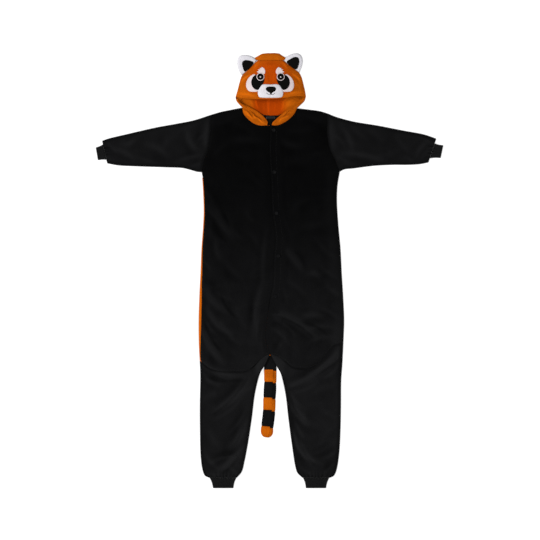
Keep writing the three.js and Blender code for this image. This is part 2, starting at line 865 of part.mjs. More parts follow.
// The face panel, or a layer between two heights over it, on the same grid of points.
function faceLayer(low, high) {
  const sideRight = line(HOOD_SIDE_RIGHT);
  const sideLeft = line(HOOD_SIDE_LEFT);
  const brim = line(BRIM);
  const plan = coons(
    (u) => [lerp(-48, 58, u), HOOD_TOP],
    brim,
    sideRight,
    sideLeft,
  );
  const outer = [];
  const inner = [];
  for (const v of [0, 0.06, 0.16, 0.28, 0.4, 0.52, 0.64, 0.76, 0.88, 0.96, 1]) {
    const points = FACE_COLUMNS.map((s) => plan((s + 1) / 2, v));
    outer.push(points.map(([x, y]) => [x, y, faceTop(x, y) + high]));
    inner.push(points.map(([x, y]) => [x, y, faceTop(x, y) + low]));
  }
  return wall(outer, inner);
}

// The crown: the top of the hood folds over from the back to the face.
function crown() {
  const foldAt = [
    [-52, 874],
    [-46, 880],
    [-31, 890],
    [-10, 894],
    [20, 894],
    [40, 891],
    [50, 886],
    [57, 880],
  ];
  const outer = [];
  const inner = [];
  for (const [x, fold] of foldAt) {
    const start = HOOD_TOP + 0.5;
    const high = faceTop(clamp((x + 47) / 104) * 104 - 47, HOOD_TOP - 1);
    const round = Math.min(fold - start - 2, 15);
    const section = (inset) => {
      const [rx, rz, z] = [round - inset, high / 2 - inset, high / 2];
      const bend = [-90, -55, -20, 20, 55, 90].map((angle) => {
        const a = (angle * Math.PI) / 180;
        return [x, fold - round + rx * Math.cos(a), z + rz * Math.sin(a)];
      });
      return [[x, start, inset], ...bend, [x, start, high - inset]];
    };
    outer.push(section(0));
    inner.push(section(CLOTH));
  }
  return wall(outer, inner);
}

// A front edge of the hood: from under the brim's corner it runs down to the centre of the neck.
function hoodBand(isLeft) {
  const neck = line(isLeft ? NECK_LEFT : NECK_RIGHT);
  const outerLine = chain(line((isLeft ? JAW_LEFT : JAW_RIGHT).slice(1)), neck, 0.2);
  const innerLine = line(isLeft ? BAND_INNER_LEFT : BAND_INNER_RIGHT);
  const outer = [];
  const inner = [];
  for (const t of [0, 0.1, 0.2, 0.27, 0.34, 0.42, 0.5, 0.58, 0.66, 0.74, 0.82, 0.9, 0.975]) {
    const [ax, ay] = outerLine(t);
    const [bx, by] = innerLine(t);
    const row = [0, 0.12, 0.32, 0.55, 0.78, 0.93, 1].map((w) => {
      const edge = lerp(9.2, 5.2, smooth((t - 0.12) / 0.16));
      const roll = 7 * Math.sin(Math.PI * Math.min(1, w * 0.9 + 0.05)) ** 0.8;
      const crease = -1.6 * Math.sin(Math.PI * w) * Math.cos(2 * Math.PI * 3 * t);
      const narrow = 1 - 0.75 * smooth((t - 0.82) / 0.16);
      const z = edge + 0.4 * w + (roll + crease * smooth((t - 0.3) / 0.2)) * narrow;
      return [lerp(ax, bx, w), lerp(ay, by, w), z];
    });
    outer.push(row.map(([x, y, z]) => [x, y, z + CLOTH]));
    inner.push(row);
  }
  return wall(outer, inner);
}

add("hood_back_right", hoodBack(false), "orange_deep");
add("hood_back_left", hoodBack(true), "orange_deep");
add("hood_crown", crown(), "orange");
add("hood_band_right", hoodBand(false), "orange");
add("hood_band_left", hoodBand(true), "orange");
add("hood_face", faceLayer(-CLOTH, 0), "orange");

// ---------------------------------------------------------------- ears, face patches, facing
// Closed outline through the rows of a table: smooth, or straight between them.
function outlineOf(rows, count, isSmooth = true) {
  if (!isSmooth) return rows;
  const points = rows.map(([x, y]) => new THREE.Vector3(x, y, 0));
  const path = new THREE.CatmullRomCurve3(points, true, "centripetal");
  return span(count).slice(0, -1).map((t) => {
    const p = path.getPointAt(t);
    return [p.x, p.y];
  });
}

// Each corner of an outline moved out by d along the mean of its two side normals.
function grown(outline, d) {
  const area = outline.reduce((sum, [x, y], i) => {
    const [p, q] = outline[(i + 1) % outline.length];
    return sum + x * q - p * y;
  }, 0);
  const turn = Math.sign(area);
  return outline.map(([x, y], i) => {
    const [ax, ay] = outline[(i + outline.length - 1) % outline.length];
    const [bx, by] = outline[(i + 1) % outline.length];
    const length = Math.hypot(bx - ax, by - ay);
    return [x + (turn * d * (by - ay)) / length, y - (turn * d * (bx - ax)) / length];
  });
}

function prism(outline) {
  const shape = new THREE.Shape(outline.map(([x, y]) => new THREE.Vector2(x, y)));
  return toSolid(new THREE.ExtrudeGeometry(shape, { depth: 120, bevelEnabled: false }));
}

// A patch of the face: a layer over the face panel inside an outline, less its neighbours.
function facePatch(outline, low, high, neighbours = []) {
  let solid = toSolid(faceLayer(low, high)).intersect(prism(outline));
  for (const other of neighbours) solid = solid.subtract(prism(grown(other, SEAM)));
  return toGeometry(solid);
}

const mirrored = (rows, centre) => rows.map(([x, y]) => [2 * centre - x, y]);

function circle(x, y, r, n) {
  return span(n).slice(0, -1).map((t) => {
    const a = 2 * Math.PI * t;
    return [x + r * Math.cos(a), y + r * Math.sin(a)];
  });
}

const FACE_X = 4; // centre line of the face
const EYE = { away: 41.5, y: 793.5, ring: 16.5, iris: 13, glint: 3.4 };
const PATCH = [
  [-57, 801],
  [-70, 789],
  [-75, 770],
  [-69, 751],
  [-57, 741],
  [-47, 740],
  [-37, 752],
  [-24, 772],
  [-22, 785],
  [-38, 800],
];
const CHEEK = [
  [-62, 803],
  [-84, 790],
  [-95, 768],
  [-94, 746],
  [-84, 732],
  [-66, 729],
  [-46, 733],
  [-40, 760],
  [-50, 790],
];
const BROW = [
  [-31, 836],
  [-39, 830],
  [-38, 827],
  [-46, 824],
  [-42, 821],
  [-50, 816],
  [-40, 809],
  [-21, 805],
  [-18, 814],
  [-23, 829],
];
const MUZZLE = [
  [-30, 761],
  [4, 762],
  [38, 761],
  [51, 745],
  [56, 725],
  [51, 709],
  [36, 704.5],
  [4, 704],
  [-28, 704.5],
  [-43, 709],
  [-48, 725],
  [-43, 745],
];
const NOSE = [
  [-9, 752],
  [5, 755],
  [19, 752],
  [26, 744],
  [18, 734],
  [7, 727],
  [5, 720],
  [3, 727],
  [-8, 734],
  [-16, 744],
];

const muzzle = outlineOf(MUZZLE, 28);
const noseLow = SEAM + MUZZLE_PAD + SEAM;
add("muzzle", facePatch(muzzle, SEAM, SEAM + MUZZLE_PAD), "white");
add("nose", facePatch(outlineOf(NOSE, 22), noseLow, noseLow + 2.2), "felt_black");
for (const [side, sign] of [["right", 1], ["left", -1]]) {
  const place = (rows) => (sign > 0 ? rows : mirrored(rows, FACE_X).reverse());
  const eyeX = FACE_X - sign * EYE.away;
  const eye = circle(eyeX, EYE.y, EYE.ring, 20);
  const iris = circle(eyeX, EYE.y, EYE.iris, 18);
  const glint = circle(eyeX, EYE.y - 1, EYE.glint, 8);
  const patch = outlineOf(place(PATCH), 22);
  const cheek = outlineOf(place(CHEEK), 22);
  const onIris = SEAM + FELT + SEAM + IRIS;
  add("eye_patch_" + side, facePatch(patch, SEAM, SEAM + FELT, [eye, muzzle]), "felt_black");
  add("cheek_" + side, facePatch(cheek, SEAM, SEAM + FELT, [patch, eye, muzzle]), "white");
  add("brow_" + side, facePatch(place(BROW), SEAM, SEAM + FELT, [eye]), "white");
  add("eye_ring_" + side, facePatch(eye, SEAM, SEAM + FELT), "white");
  add("iris_" + side, facePatch(iris, SEAM + FELT + SEAM, onIris), "felt_black");
  add("glint_" + side, facePatch(glint, onIris + SEAM, onIris + SEAM + 0.6), "white");
}

// An ear: a padded plate under a low dome, cut to its outline. The lining is a layer on the dome.
// Outlines run round the free edge from the crown's end; the sewn edge follows the hood's side.
const EAR_RIGHT_FREE = [
  [-52.6, 863],
  [-64, 872],
  [-75, 878],
  [-88, 882],
  [-104, 882],
  [-117, 878],
  [-125, 868],
  [-127, 854],
  [-125, 835],
  [-120, 816],
];
const EAR_RIGHT_LINING = [
  [-65, 852],
  [-86, 861],
  [-103, 861],
  [-112, 851],
  [-110, 834],
  [-101, 815.5],
];
const EAR_LEFT_FREE = [
  [57.6, 864],
  [66, 873],
  [76, 880],
  [88, 886],
  [104, 890],
  [118, 889],
  [129, 881],
  [135, 866],
  [135, 850],
  [130, 831],
];
const EAR_LEFT_LINING = [
  [70, 854.5],
  [86, 867],
  [104, 875],
  [117, 872],
  [121.5, 859],
  [119, 842],
  [109, 824],
];
const EARS = [
  {
    side: "right",
    outline: [...EAR_RIGHT_FREE, ...sewnEdge(HOOD_SIDE_RIGHT, -1, 0.5)],
    lining: EAR_RIGHT_LINING,
    centre: [-90, 845],
  },
  {
    side: "left",
    outline: [...EAR_LEFT_FREE, ...sewnEdge(HOOD_SIDE_LEFT, 1, 0.45)],
    lining: EAR_LEFT_LINING,
    centre: [97, 848],
  },
];

// Points of a hood side where the ear is sewn on, from its outer end `share` of the way down the
// side up to the crown, moved away from the hood by the seam's gap.
function sewnEdge(rows, away, share) {
  const side = line(rows);
  return span(5).map((t) => {
    const [x, y] = side(lerp(share, 0.045, t));
    return [x + away * 1.4 * SEAM, y + 1.4 * SEAM];
  });
}

function earLayer([cx, cy], low, high) {
  const dome = (x, y) => 8 + 8 * Math.max(0, 1 - (((x - cx) / 52) ** 2 + ((y - cy) / 52) ** 2));
  const outer = [];
  const inner = [];
  for (const j of span(6)) {
    const points = span(6).map((i) => [cx + lerp(-54, 54, i), cy + lerp(54, -54, j)]);
    outer.push(points.map(([x, y]) => [x, y, dome(x, y) + high]));
    inner.push(points.map(([x, y]) => [x, y, low === null ? 0 : dome(x, y) + low]));
  }
  return toSolid(wall(outer, inner));
}

for (const { side, outline, lining, centre } of EARS) {
  const pad = earLayer(centre, null, 0).intersect(prism(outline));
  const onPad = earLayer(centre, SEAM, SEAM + FELT).intersect(prism(lining));
  add("ear_" + side, toGeometry(pad), "white");
  add("ear_lining_" + side, toGeometry(onPad), "felt_black");
}

// Facing inside the back of the neck, between the bands, with a bare label on it.
const FACING_TOP = CLOTH + SEAM + 1.6;
const LABEL = 0.6;

function neckFacing() {
  const yAt = (rows, x) => {
    const i = Math.max(1, rows.findIndex((row, k) => k > 0 && row[0] >= x));
    return lerp(rows[i - 1][1], rows[i][1], clamp((x - rows[i - 1][0]) / (rows[i][0] - rows[i - 1][0])));
  };
  const neck = [...NECK_RIGHT.slice(0, -1), ...[...NECK_LEFT].reverse()];
  const row = (z) => [0, 0.5, 1].map((t) =>
    span(10).map((s) => {
      const x = lerp(-66, 68, s);
      return [x, lerp(yAt(NAPE, x) - 1, yAt(neck, x) + 6, t), z];
    }),
  );
  return wall(row(FACING_TOP), row(CLOTH + SEAM));
}
add("neck_facing", neckFacing(), "felt_black");
const label = new THREE.BoxGeometry(36, 10, LABEL);
label.translate(4, 628, FACING_TOP + SEAM + LABEL / 2);
add("neck_label", label, "felt_black");

// ---------------------------------------------------------------- tail
// Rings of stuffed tube on one path; the first is the flat root under the seat.
const TAIL_PATH = [
  [3, -283],
  [3, -340],
  [3, -404],
  [3, -457],
  [0, -519],
  [-2, -576],
  [-9, -636],
  [-14, -688],
];
// Section of the tail: half width and height as shares, round from its flat underside.
const TAIL_SECTION = [
  [-0.68, 0],
  [0.68, 0],
  [0.92, 0.14],
  [1, 0.42],
  [0.92, 0.72],
  [0.6, 0.93],
  [0, 1],
  [-0.6, 0.93],
  [-0.92, 0.72],
  [-1, 0.42],
  [-0.92, 0.14],
];
const ringTable = (rows) =>
  rows.map(([name, from, to, colour, steps]) => ({ name, from, to, colour, steps }));
const TAIL_RINGS = ringTable([
  // name                from   to     colour    sections along the ring
  ["tail_root_orange", 0, 0.141, "orange", [0, 0.5, 1]],
  ["tail_ring_black_1", 0.141, 0.298, "black", [0, 0.45, 0.75, 1]],
  ["tail_ring_orange_1", 0.298, 0.43, "orange", [0, 0.5, 1]],
  ["tail_ring_black_2", 0.43, 0.584, "black", [0, 0.5, 1]],
  ["tail_ring_orange_2", 0.584, 0.725, "orange", [0, 0.5, 1]],
  ["tail_ring_black_3", 0.725, 0.875, "black", [0, 0.5, 1]],
  ["tail_tip_orange", 0.875, 1, "orange", [0, 0.35, 0.6, 0.8, 0.92, 0.99]],
]);

function tailRing({ from, to, steps }) {
  const path = line(TAIL_PATH);
  const isTip = to === 1;
  return loft(
    steps.map((k) => {
      const gap = k === 0 ? 0.0004 : k === 1 && !isTip ? -0.0004 : 0;
      const t = lerp(from, to, k) + gap;
      const [x, y] = path(t);
      const [px, py] = path(t - 0.01);
      const [qx, qy] = path(t + 0.01);
      const length = Math.hypot(qx - px, qy - py);
      const [nx, ny] = [-(qy - py) / length, (qx - px) / length];
      const half = TAIL_HALF_WIDTH * (isTip ? Math.sqrt(1 - (0.98 * k) ** 4) : 1);
      const flat = isTip ? 1 - 0.55 * k ** 4 : 1;
      const height = flat * lerp(TAIL_ROOT_HEIGHT, TAIL_HEIGHT, smooth((-398 - y) / 46));
      return TAIL_SECTION.map(([w, h]) => [x + nx * w * half, y + ny * w * half, h * height]);
    }),
  );
}
for (const ring of TAIL_RINGS) add(ring.name, tailRing(ring), ring.colour);

// ---------------------------------------------------------------- buttons
const BUTTON_ROWS = [576, 404, 236, 61, -104]; // heights y up the closure
const BUTTON_FROM_EDGE = 17;
const THREAD_HOLE = { radius: 0.9, away: 1.6 };

// A flat disc with four thread holes, its underside at z = 0.
function button() {
  const path = (x, y, r, n) => circle(x, y, r, n).map(([p, q]) => new THREE.Vector2(p, q));
  const shape = new THREE.Shape(path(0, 0, BUTTON_RADIUS, 14));
  for (const [i, j] of [[-1, -1], [1, -1], [1, 1], [-1, 1]]) {
    const hole = path(i * THREAD_HOLE.away, j * THREAD_HOLE.away, THREAD_HOLE.radius, 4);
    shape.holes.push(new THREE.Path(hole.reverse()));
  }
  return new THREE.ExtrudeGeometry(shape, { depth: BUTTON_HEIGHT, bevelEnabled: false });
}
BUTTON_ROWS.forEach((y, i) => {
  const geometry = button();
  geometry.translate(xAt(CENTRE, y) + BUTTON_FROM_EDGE, y, 3 * CLOTH + 4 * SEAM);
  add("button_" + (i + 1), geometry, "button");
});

export default garment;
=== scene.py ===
"""An adult red panda onesie, laid flat face up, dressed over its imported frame."""

import math

import bpy
import numpy as np
from bpy.props import FloatProperty, FloatVectorProperty, PointerProperty
from bpy.types import Operator, Panel, PropertyGroup
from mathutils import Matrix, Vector
from mathutils.bvhtree import BVHTree


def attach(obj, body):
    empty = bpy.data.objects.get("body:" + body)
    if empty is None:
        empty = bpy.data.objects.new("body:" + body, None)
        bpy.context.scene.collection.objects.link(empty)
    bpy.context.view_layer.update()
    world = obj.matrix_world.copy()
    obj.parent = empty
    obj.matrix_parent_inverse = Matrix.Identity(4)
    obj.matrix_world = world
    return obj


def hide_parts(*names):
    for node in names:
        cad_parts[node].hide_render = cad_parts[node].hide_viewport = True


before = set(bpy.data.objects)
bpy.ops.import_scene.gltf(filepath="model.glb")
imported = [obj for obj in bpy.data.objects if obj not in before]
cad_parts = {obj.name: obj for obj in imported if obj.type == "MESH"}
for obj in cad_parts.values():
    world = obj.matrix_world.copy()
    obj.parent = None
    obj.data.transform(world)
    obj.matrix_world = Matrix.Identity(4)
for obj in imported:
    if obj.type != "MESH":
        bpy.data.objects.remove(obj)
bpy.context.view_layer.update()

bl_info = {
    "name": "Red Panda Onesie",
    "version": (1, 0, 0),
    "blender": (4, 5, 0),
    "location": "3D Viewport > Sidebar > Onesie",
    "description": "Builds a hooded fleece onesie laid flat, over its packed frame",
    "category": "Object",
}

# ---- sizes, in millimetres
MM = 0.001
CLOTH = 2.4  # fleece with its nap
SEAM = 0.3  # gap between two pieces that are sewn together
FELT = 1.2  # face patches
IRIS = 0.9
MUZZLE_PAD = 2.6
FOLD_RADIUS = 3.4  # roll of a folded edge
TUCK = 1.4  # how far a leg goes in under the fronts at the thigh seam
LAP = 30  # the left front lies over the right front
LAP_END = -125  # below it the two fronts are sewn edge to edge
UNDERARM_Y = 404
WRAP_RAMP = 36  # the roll grows to its full width this far below the armpit
TAIL_HALF_WIDTH = 25.5
TAIL_HEIGHT = 30
TAIL_ROOT_HEIGHT = 5.2
TAIL_X = 3
BUTTON_RADIUS = 7.5
BUTTON_FROM_EDGE = 17
BUTTON_ROWS = [576, 404, 236, 61, -104]
HOOD_EDGE = 9  # height of the hood's side seam
HOOD_RISE = 34
CROWN_RISE = 13
HOOD_TOP = 861
FACE_X = 4
BACK_SEAM_X = -4
FACING_TOP = CLOTH + SEAM + 1.6
LABEL_PLACE = (4, 628)
LABEL_HALF = (18, 5)

SIDES = ((False, "right"), (True, "left"))  # is it the wearer's left one, name

# The arch of the cloth over the tail's root: half width, slope, where it begins and ends.
ARCH_HALF = 38
ARCH_SLOPE = 34
ARCH_TOP, ARCH_END, ARCH_RAMP = -212, -400, 48
ARCH_AT_FRONT = 22  # the fronts' arch is this much wider and starts as much higher

# Seams between two panels: depth and width of the dip, and how far the panel takes to rise.
DIP, DIP_WIDTH, SEAM_RISE = 1.3, 5, 15

# Plan lines: x, y on the surface.
ARMHOLE_RIGHT = [(-238, 639), (-238, 601), (-240, 568), (-244, 535), (-250, 503), (-258, 476),
    (-268, 452), (-277, 404)]
ARMHOLE_LEFT = [(237, 644), (236, 601), (235, 568), (239, 535), (246, 503), (257, 476),
    (270, 450), (287, 406)]
SIDE_RIGHT = [(-277, 404), (-272.5, 340), (-269, 248), (-271, 191), (-278, 92), (-282, -6),
    (-287, -105), (-290, -203), (-289, -300), (-285.5, -367)]
SIDE_LEFT = [(287, 406), (278, 351), (275.5, 289), (281, 191), (290, 92), (295, -6), (301, -105),
    (305, -203), (302, -293)]
SHOULDER_RIGHT = [(-238, 639), (-200, 650), (-162, 658), (-111, 668)]
SHOULDER_LEFT = [(237, 644), (207, 653), (158, 660), (112, 665)]
NECK_RIGHT = [(-111, 668), (-110, 655), (-105, 641), (-91, 624), (-72, 608), (-52, 598),
    (-30, 594), (0, 597)]
NECK_LEFT = [(112, 665), (104, 647), (88, 628), (71, 614), (48, 601), (29, 595), (0, 597)]
NAPE = [(-111, 668), (-68, 652), (-24, 639), (5, 636), (35, 637), (74, 650), (112, 665)]
CENTRE = [(0, 597), (0, 547), (-2, 510), (0, 449), (5, 371), (8, 297), (12, 230), (20, 175),
    (24, 129), (17, 41), (14, -59), (2, -121), (-10, -203), (-15, -285), (2, -338)]
THIGH_RIGHT = [(-285.5, -367), (-268, -382), (-244, -400), (-203, -410), (-146, -412), (-92, -408),
    (-51, -377), (-27, -355), (2, -338)]
THIGH_LEFT = [(302, -293), (277, -298), (256, -311), (228, -346), (201, -380), (168, -398),
    (129, -399), (92, -392), (62, -368), (30, -350), (2, -338)]
OUTSEAM_RIGHT = [(-285.5, -367), (-283, -424), (-285, -556), (-284.5, -654), (-283, -728),
    (-280, -777), (-273, -818), (-264, -838), (-247, -846)]
INSEAM_RIGHT = [(2, -338), (-10, -367), (-23, -392), (-39, -420), (-59, -498), (-73, -605),
    (-88, -703), (-102, -777), (-114, -822), (-134, -846)]
OUTSEAM_LEFT = [(302, -293), (298, -375), (293, -449), (292, -556), (290, -654), (285, -744),
    (277, -802), (270, -826), (262, -839), (247, -846)]
INSEAM_LEFT = [(2, -338), (16, -367), (30, -392), (45.5, -420), (64.5, -498), (77.5, -605),
    (90.5, -703), (106, -802), (114, -826), (134, -846)]
SLEEVE_FOLD_RIGHT = [(-238, 639), (-310, 616), (-383, 601.5), (-463, 587), (-581, 560),
    (-660, 541), (-685, 532)]
SLEEVE_SEAM_RIGHT = [(-277, 404), (-298, 406), (-326, 414), (-357, 421), (-424, 424),
    (-542, 428), (-620, 432), (-664, 440)]
SLEEVE_FOLD_LEFT = [(237, 644), (272, 630), (343, 611), (445, 594), (547, 574), (632, 558),
    (682, 541)]
SLEEVE_SEAM_LEFT = [(287, 406), (304, 415), (343, 419.5), (425, 430), (506, 434), (564, 434),
    (615, 437), (650, 444)]
HOOD_SIDE_RIGHT = [(-48, 861), (-64, 847), (-97, 814), (-113, 798), (-123, 770), (-131, 739),
    (-139, 712)]
HOOD_SIDE_LEFT = [(58, 861), (71, 849), (107, 822), (122, 810), (132, 790), (138, 768),
    (146, 733), (149, 712)]
JAW_RIGHT = [(-139, 712), (-138, 703), (-134, 693), (-124, 681), (-111, 668)]
JAW_LEFT = [(149, 712), (147, 706), (143, 695), (127, 679), (112, 665)]
BRIM = [(-139, 712), (-110, 706), (-55, 702), (0, 702), (34, 704), (67, 708), (106, 714),
    (149, 712)]
BAND_INNER_RIGHT = [(-127, 706), (-120, 691), (-87, 674), (-52, 654), (-30, 637), (-14, 620),
    (-3, 602)]
BAND_INNER_LEFT = [(135, 705), (128, 692), (112, 681), (67, 654), (40, 633), (19, 614), (6, 602)]
MOUTH = [(-12.5, 727.5), (-7.5, 722.5), (-1.5, 720.3), (5, 721.5), (10.5, 720), (16, 721.5),
    (21.5, 726.5)]
PATCH = [(-57, 801), (-70, 789), (-75, 770), (-69, 751), (-57, 741), (-47, 740), (-37, 752),
    (-24, 772), (-22, 785), (-38, 800)]
CHEEK = [(-62, 804), (-84, 791), (-95, 769), (-94, 748), (-84, 735), (-66, 732), (-46, 735),
    (-40, 760), (-50, 790)]
MUZZLE = [(-30, 761), (4, 762), (38, 761), (51, 745), (56, 726), (51, 711), (36, 707.5),
    (4, 707), (-28, 707.5), (-43, 711), (-48, 726), (-43, 745)]
NOSE = [(-9, 751.5), (6, 753), (21, 751.5), (26.5, 744), (23, 735), (11, 727.5), (6, 719.5),
    (0.5, 727.5), (-11.5, 735), (-15.5, 744)]
EAR_RIGHT_FREE = [(-52.6, 863), (-64, 872), (-75, 878), (-88, 882), (-104, 883), (-119, 880),
    (-128, 870), (-131, 855), (-129, 836), (-123, 816)]
EAR_RIGHT_LINING = [(-65, 852), (-86, 861), (-103, 861), (-112, 851), (-110, 834), (-101, 815.5)]
EAR_LEFT_FREE = [(57.6, 864), (66, 873), (76, 880), (88, 886), (104, 890), (118, 889),
    (129, 881), (135, 866), (135, 850), (130, 831)]
EAR_LEFT_LINING = [(70, 854.5), (86, 867), (104, 875), (117, 872), (121.5, 859), (119, 842),
    (109, 824)]
TAIL_PATH = [(3, -283), (3, -340), (3, -404), (3, -457), (0, -519), (-2, -576), (-8.5, -634),
    (-13, -681)]
TAIL_SECTION = [(-0.68, 0), (0.68, 0), (0.92, 0.14), (1, 0.42), (0.92, 0.72), (0.6, 0.93),
    (0, 1), (-0.6, 0.93), (-0.92, 0.72), (-1, 0.42), (-0.92, 0.14)]

# Largest folds of the cloth, as in the solids: x, y of both ends, bow, half width, height.
FOLDS = [
    (-182, 527, -20, 535, -8, 16, 2.6),
    (41, 541, 133, 510, 8, 15, 3.2),
    (-244, 352, -209, 281, 6, 14, -1.6),
    (-219, 245, -146, 141, 8, 15, 4.6),
    (-209, 281, -132, 158, 8, 11, -1.6),
    (-219, 129, -203, 51, 5, 13, 3.2),
    (-264, -6, -203, -96, 6, 15, -1.6),
    (57, 92, 133, 6, -8, 15, 4.2),
    (96, 88, 148, 16, -6, 12, -1.6),
    (162, -10, 203, -18, -5, 13, 3.6),
    (-10, 170, -25, -35, 6, 10, 2.4),
    (-25, -35, -62, -273, 8, 12, 3.4),
    (-255, -80, -189, -162, 8, 15, 4.2),
    (-271, -133, -244, -234, 6, 13, -1.6),
    (-255, -150, -156, -256, 14, 13, 4.4),
    (-260, -266, -189, -376, 8, 14, 4.6),
    (14, -168, 184, -260, -14, 15, 5.2),
    (124, -211, 191, -240, -5, 13, -1.6),
    (133, -191, 215, -182, -6, 12, 3.2),
    (-279, -375, -106, -431, 14, 15, 3.6),
    (-90, -459, -205, -564, -8, 16, 4.8),
    (-90, -607, -156, -728, -8, 16, 4.2),
    (-106, -722, -205, -815, -8, 15, 5.2),
    (289, -322, 223, -400, -6, 15, 4.6),
    (223, -400, 92, -469, -8, 15, 5.4),
    (92, -525, 178, -634, 12, 15, 4.8),
    (158, -564, 190, -656, 10, 12, -1.6),
    (96, -662, 174, -777, 8, 15, 5.0),
    (-246, 610, -256, 500, 4, 17, 4.2),
    (246, 610, 262, 500, -4, 17, 4.2),
    (-337, 568, -291, 486, 6, 14, 3.8),
    (-500, 520, -420, 478, -6, 15, 3.0),
    (-628, 500, -553, 461, -5, 12, 3.4),
    (-605, 516, -553, 535, 5, 12, 2.6),
    (300, 590, 342, 500, -6, 14, 3.6),
    (303, 482, 473, 449, -8, 13, 3.8),
    (652, 535, 603, 470, 6, 12, 3.0),
]

# Finer creases: x, y of both ends, bow, half width, height.
CREASES = [
    # chest and shoulders
    (-150, 610, -60, 560, -6, 12, 1.2),
    (60, 575, 190, 590, 8, 14, 1.1),
    (-215, 600, -150, 628, 4, 10, 1.2),
    (150, 640, 214, 612, 4, 10, 1.2),
    (-225, 470, -170, 520, -6, 11, 1.4),
    (228, 480, 168, 470, 6, 11, 1.4),
    (-120, 480, -30, 470, 5, 16, 1.0),
    (50, 440, 160, 455, -5, 18, 1.0),
    (-70, 400, -24, 345, 6, 9, 1.0),
    (30, 420, 70, 340, 6, 12, 1.0),
    # waist
    (-262, 330, -236, 300, 3, 7, 1.6),
    (-252, 268, -214, 216, 6, 8, 2.0),
    (-240, 200, -200, 130, 5, 9, -1.6),
    (-170, 232, -112, 130, 10, 9, 1.8),
    (-100, 260, -60, 190, 4, 10, 1.1),
    (-90, 160, -40, 90, -6, 10, 1.2),
    (96, 250, 160, 300, -6, 14, 1.2),
    (120, 180, 240, 205, 6, 14, 1.1),
    (40, 230, 90, 140, -6, 11, 1.3),
    (200, 120, 262, 60, 5, 10, 1.5),
    # hips and seat
    (-272, 60, -236, 4, 5, 8, 1.8),
    (-180, 40, -110, -30, 6, 12, 1.4),
    (-236, -60, -150, -120, 10, 8, 1.5),
    (-268, -178, -214, -262, 9, 7, 2.2),
    (-276, -236, -236, -310, 6, 7, 2.0),
    (-200, -200, -120, -300, 10, 9, 1.6),
    (-150, -120, -90, -240, 6, 12, 1.2),
    (-60, -100, -48, -250, 5, 8, 1.4),
    (-36, -150, -52, -300, 4, 6, 1.3),
    (26, -200, 104, -262, -10, 8, 1.8),
    (10, -236, 80, -300, -8, 8, 1.6),
    (60, -286, 30, -334, 4, 8, 1.4),
    (150, -244, 262, -230, -10, 10, 1.8),
    (206, -150, 286, -196, -6, 9, 1.7),
    (236, -60, 292, -100, 4, 9, 1.5),
    (70, -40, 160, -110, -8, 12, 1.4),
    (210, 20, 282, -30, 4, 9, 1.5),
    (30, -20, 74, -130, -6, 9, 1.3),
    (160, -296, 250, -270, -8, 9, 1.6),
    (26, -182, 178, -272, -12, 5, -2.4),
    (-6, -196, -22, -318, 4, 5, -2.0),
    (-198, -96, -128, -196, 12, 6, -1.8),
    (-262, -206, -196, -330, 12, 6, -2.2),
    (150, -214, 236, -262, -8, 6, -1.8),
    (-232, 214, -178, 120, 8, 6, -1.6),
    # right leg
    (-270, -416, -206, -470, 10, 9, 2.0),
    (-92, -446, -226, -586, -10, 6, -2.4),
    (-108, -640, -150, -720, -6, 6, -1.8),
    (-110, -736, -190, -826, -8, 6, -2.4),
    (-268, -430, -110, -446, 10, 7, -1.8),
    (-220, -420, -140, -452, 6, 9, 1.5),
    (-262, -520, -196, -500, -6, 14, 1.1),
    (-112, -520, -222, -606, -10, 8, 1.7),
    (-96, -570, -160, -660, -6, 8, 1.8),
    (-250, -640, -200, -720, 8, 13, 1.2),
    (-120, -760, -240, -786, 10, 9, 2.0),
    (-262, -740, -210, -806, 8, 9, 1.8),
    (-170, -800, -130, -834, -4, 8, 1.8),
    (-240, -826, -190, -836, 3, 7, 1.5),
    (-60, -470, -100, -500, 3, 8, 1.4),
    # left leg
    (286, -380, 214, -440, -10, 8, 2.0),
    (272, -366, 84, -484, -12, 6, -2.6),
    (296, -352, 196, -418, -8, 6, -2.0),
    (88, -520, 154, -618, 12, 6, -2.2),
    (112, -668, 184, -792, 10, 6, -2.4),
    (262, -340, 160, -420, -10, 8, 1.8),
    (200, -452, 96, -500, -8, 8, 1.8),
    (84, -492, 150, -566, 8, 8, 1.8),
    (180, -500, 262, -470, -8, 14, 1.2),
    (214, -560, 280, -600, 6, 12, 1.2),
    (100, -600, 150, -690, 6, 8, 1.8),
    (212, -700, 262, -640, -6, 13, 1.1),
    (120, -730, 216, -790, 8, 9, 2.0),
    (280, -730, 214, -770, -6, 9, 1.8),
    (130, -806, 190, -836, 4, 8, 1.6),
    (262, -790, 216, -828, -4, 7, 1.6),
    # right sleeve
    (-280, 470, -380, 446, 5, 9, 1.9),
    (-272, 440, -322, 424, 3, 8, 1.9),
    (-262, 560, -300, 520, 4, 8, 1.5),
    (-300, 600, -372, 570, 5, 10, 1.3),
    (-380, 560, -440, 500, 6, 14, 1.2),
    (-450, 440, -540, 470, -5, 10, 1.4),
    (-520, 560, -580, 500, 5, 10, 1.3),
    (-664, 534, -618, 486, 5, 8, 1.8),
    (-672, 470, -628, 450, 3, 7, 1.6),
    (-600, 452, -560, 440, 3, 8, 1.3),
    # left sleeve
    (276, 470, 350, 440, 5, 9, 1.9),
    (300, 440, 360, 428, 3, 8, 1.8),
    (268, 560, 316, 500, -4, 9, 1.5),
    (330, 600, 400, 540, 6, 12, 1.3),
    (400, 580, 470, 530, -5, 12, 1.2),
    (440, 470, 540, 500, 6, 12, 1.3),
    (520, 560, 580, 480, 6, 10, 1.3),
    (664, 500, 620, 456, 5, 8, 1.8),
    (656, 530, 610, 548, 3, 8, 1.5),
    (590, 446, 550, 470, 3, 8, 1.4),
]

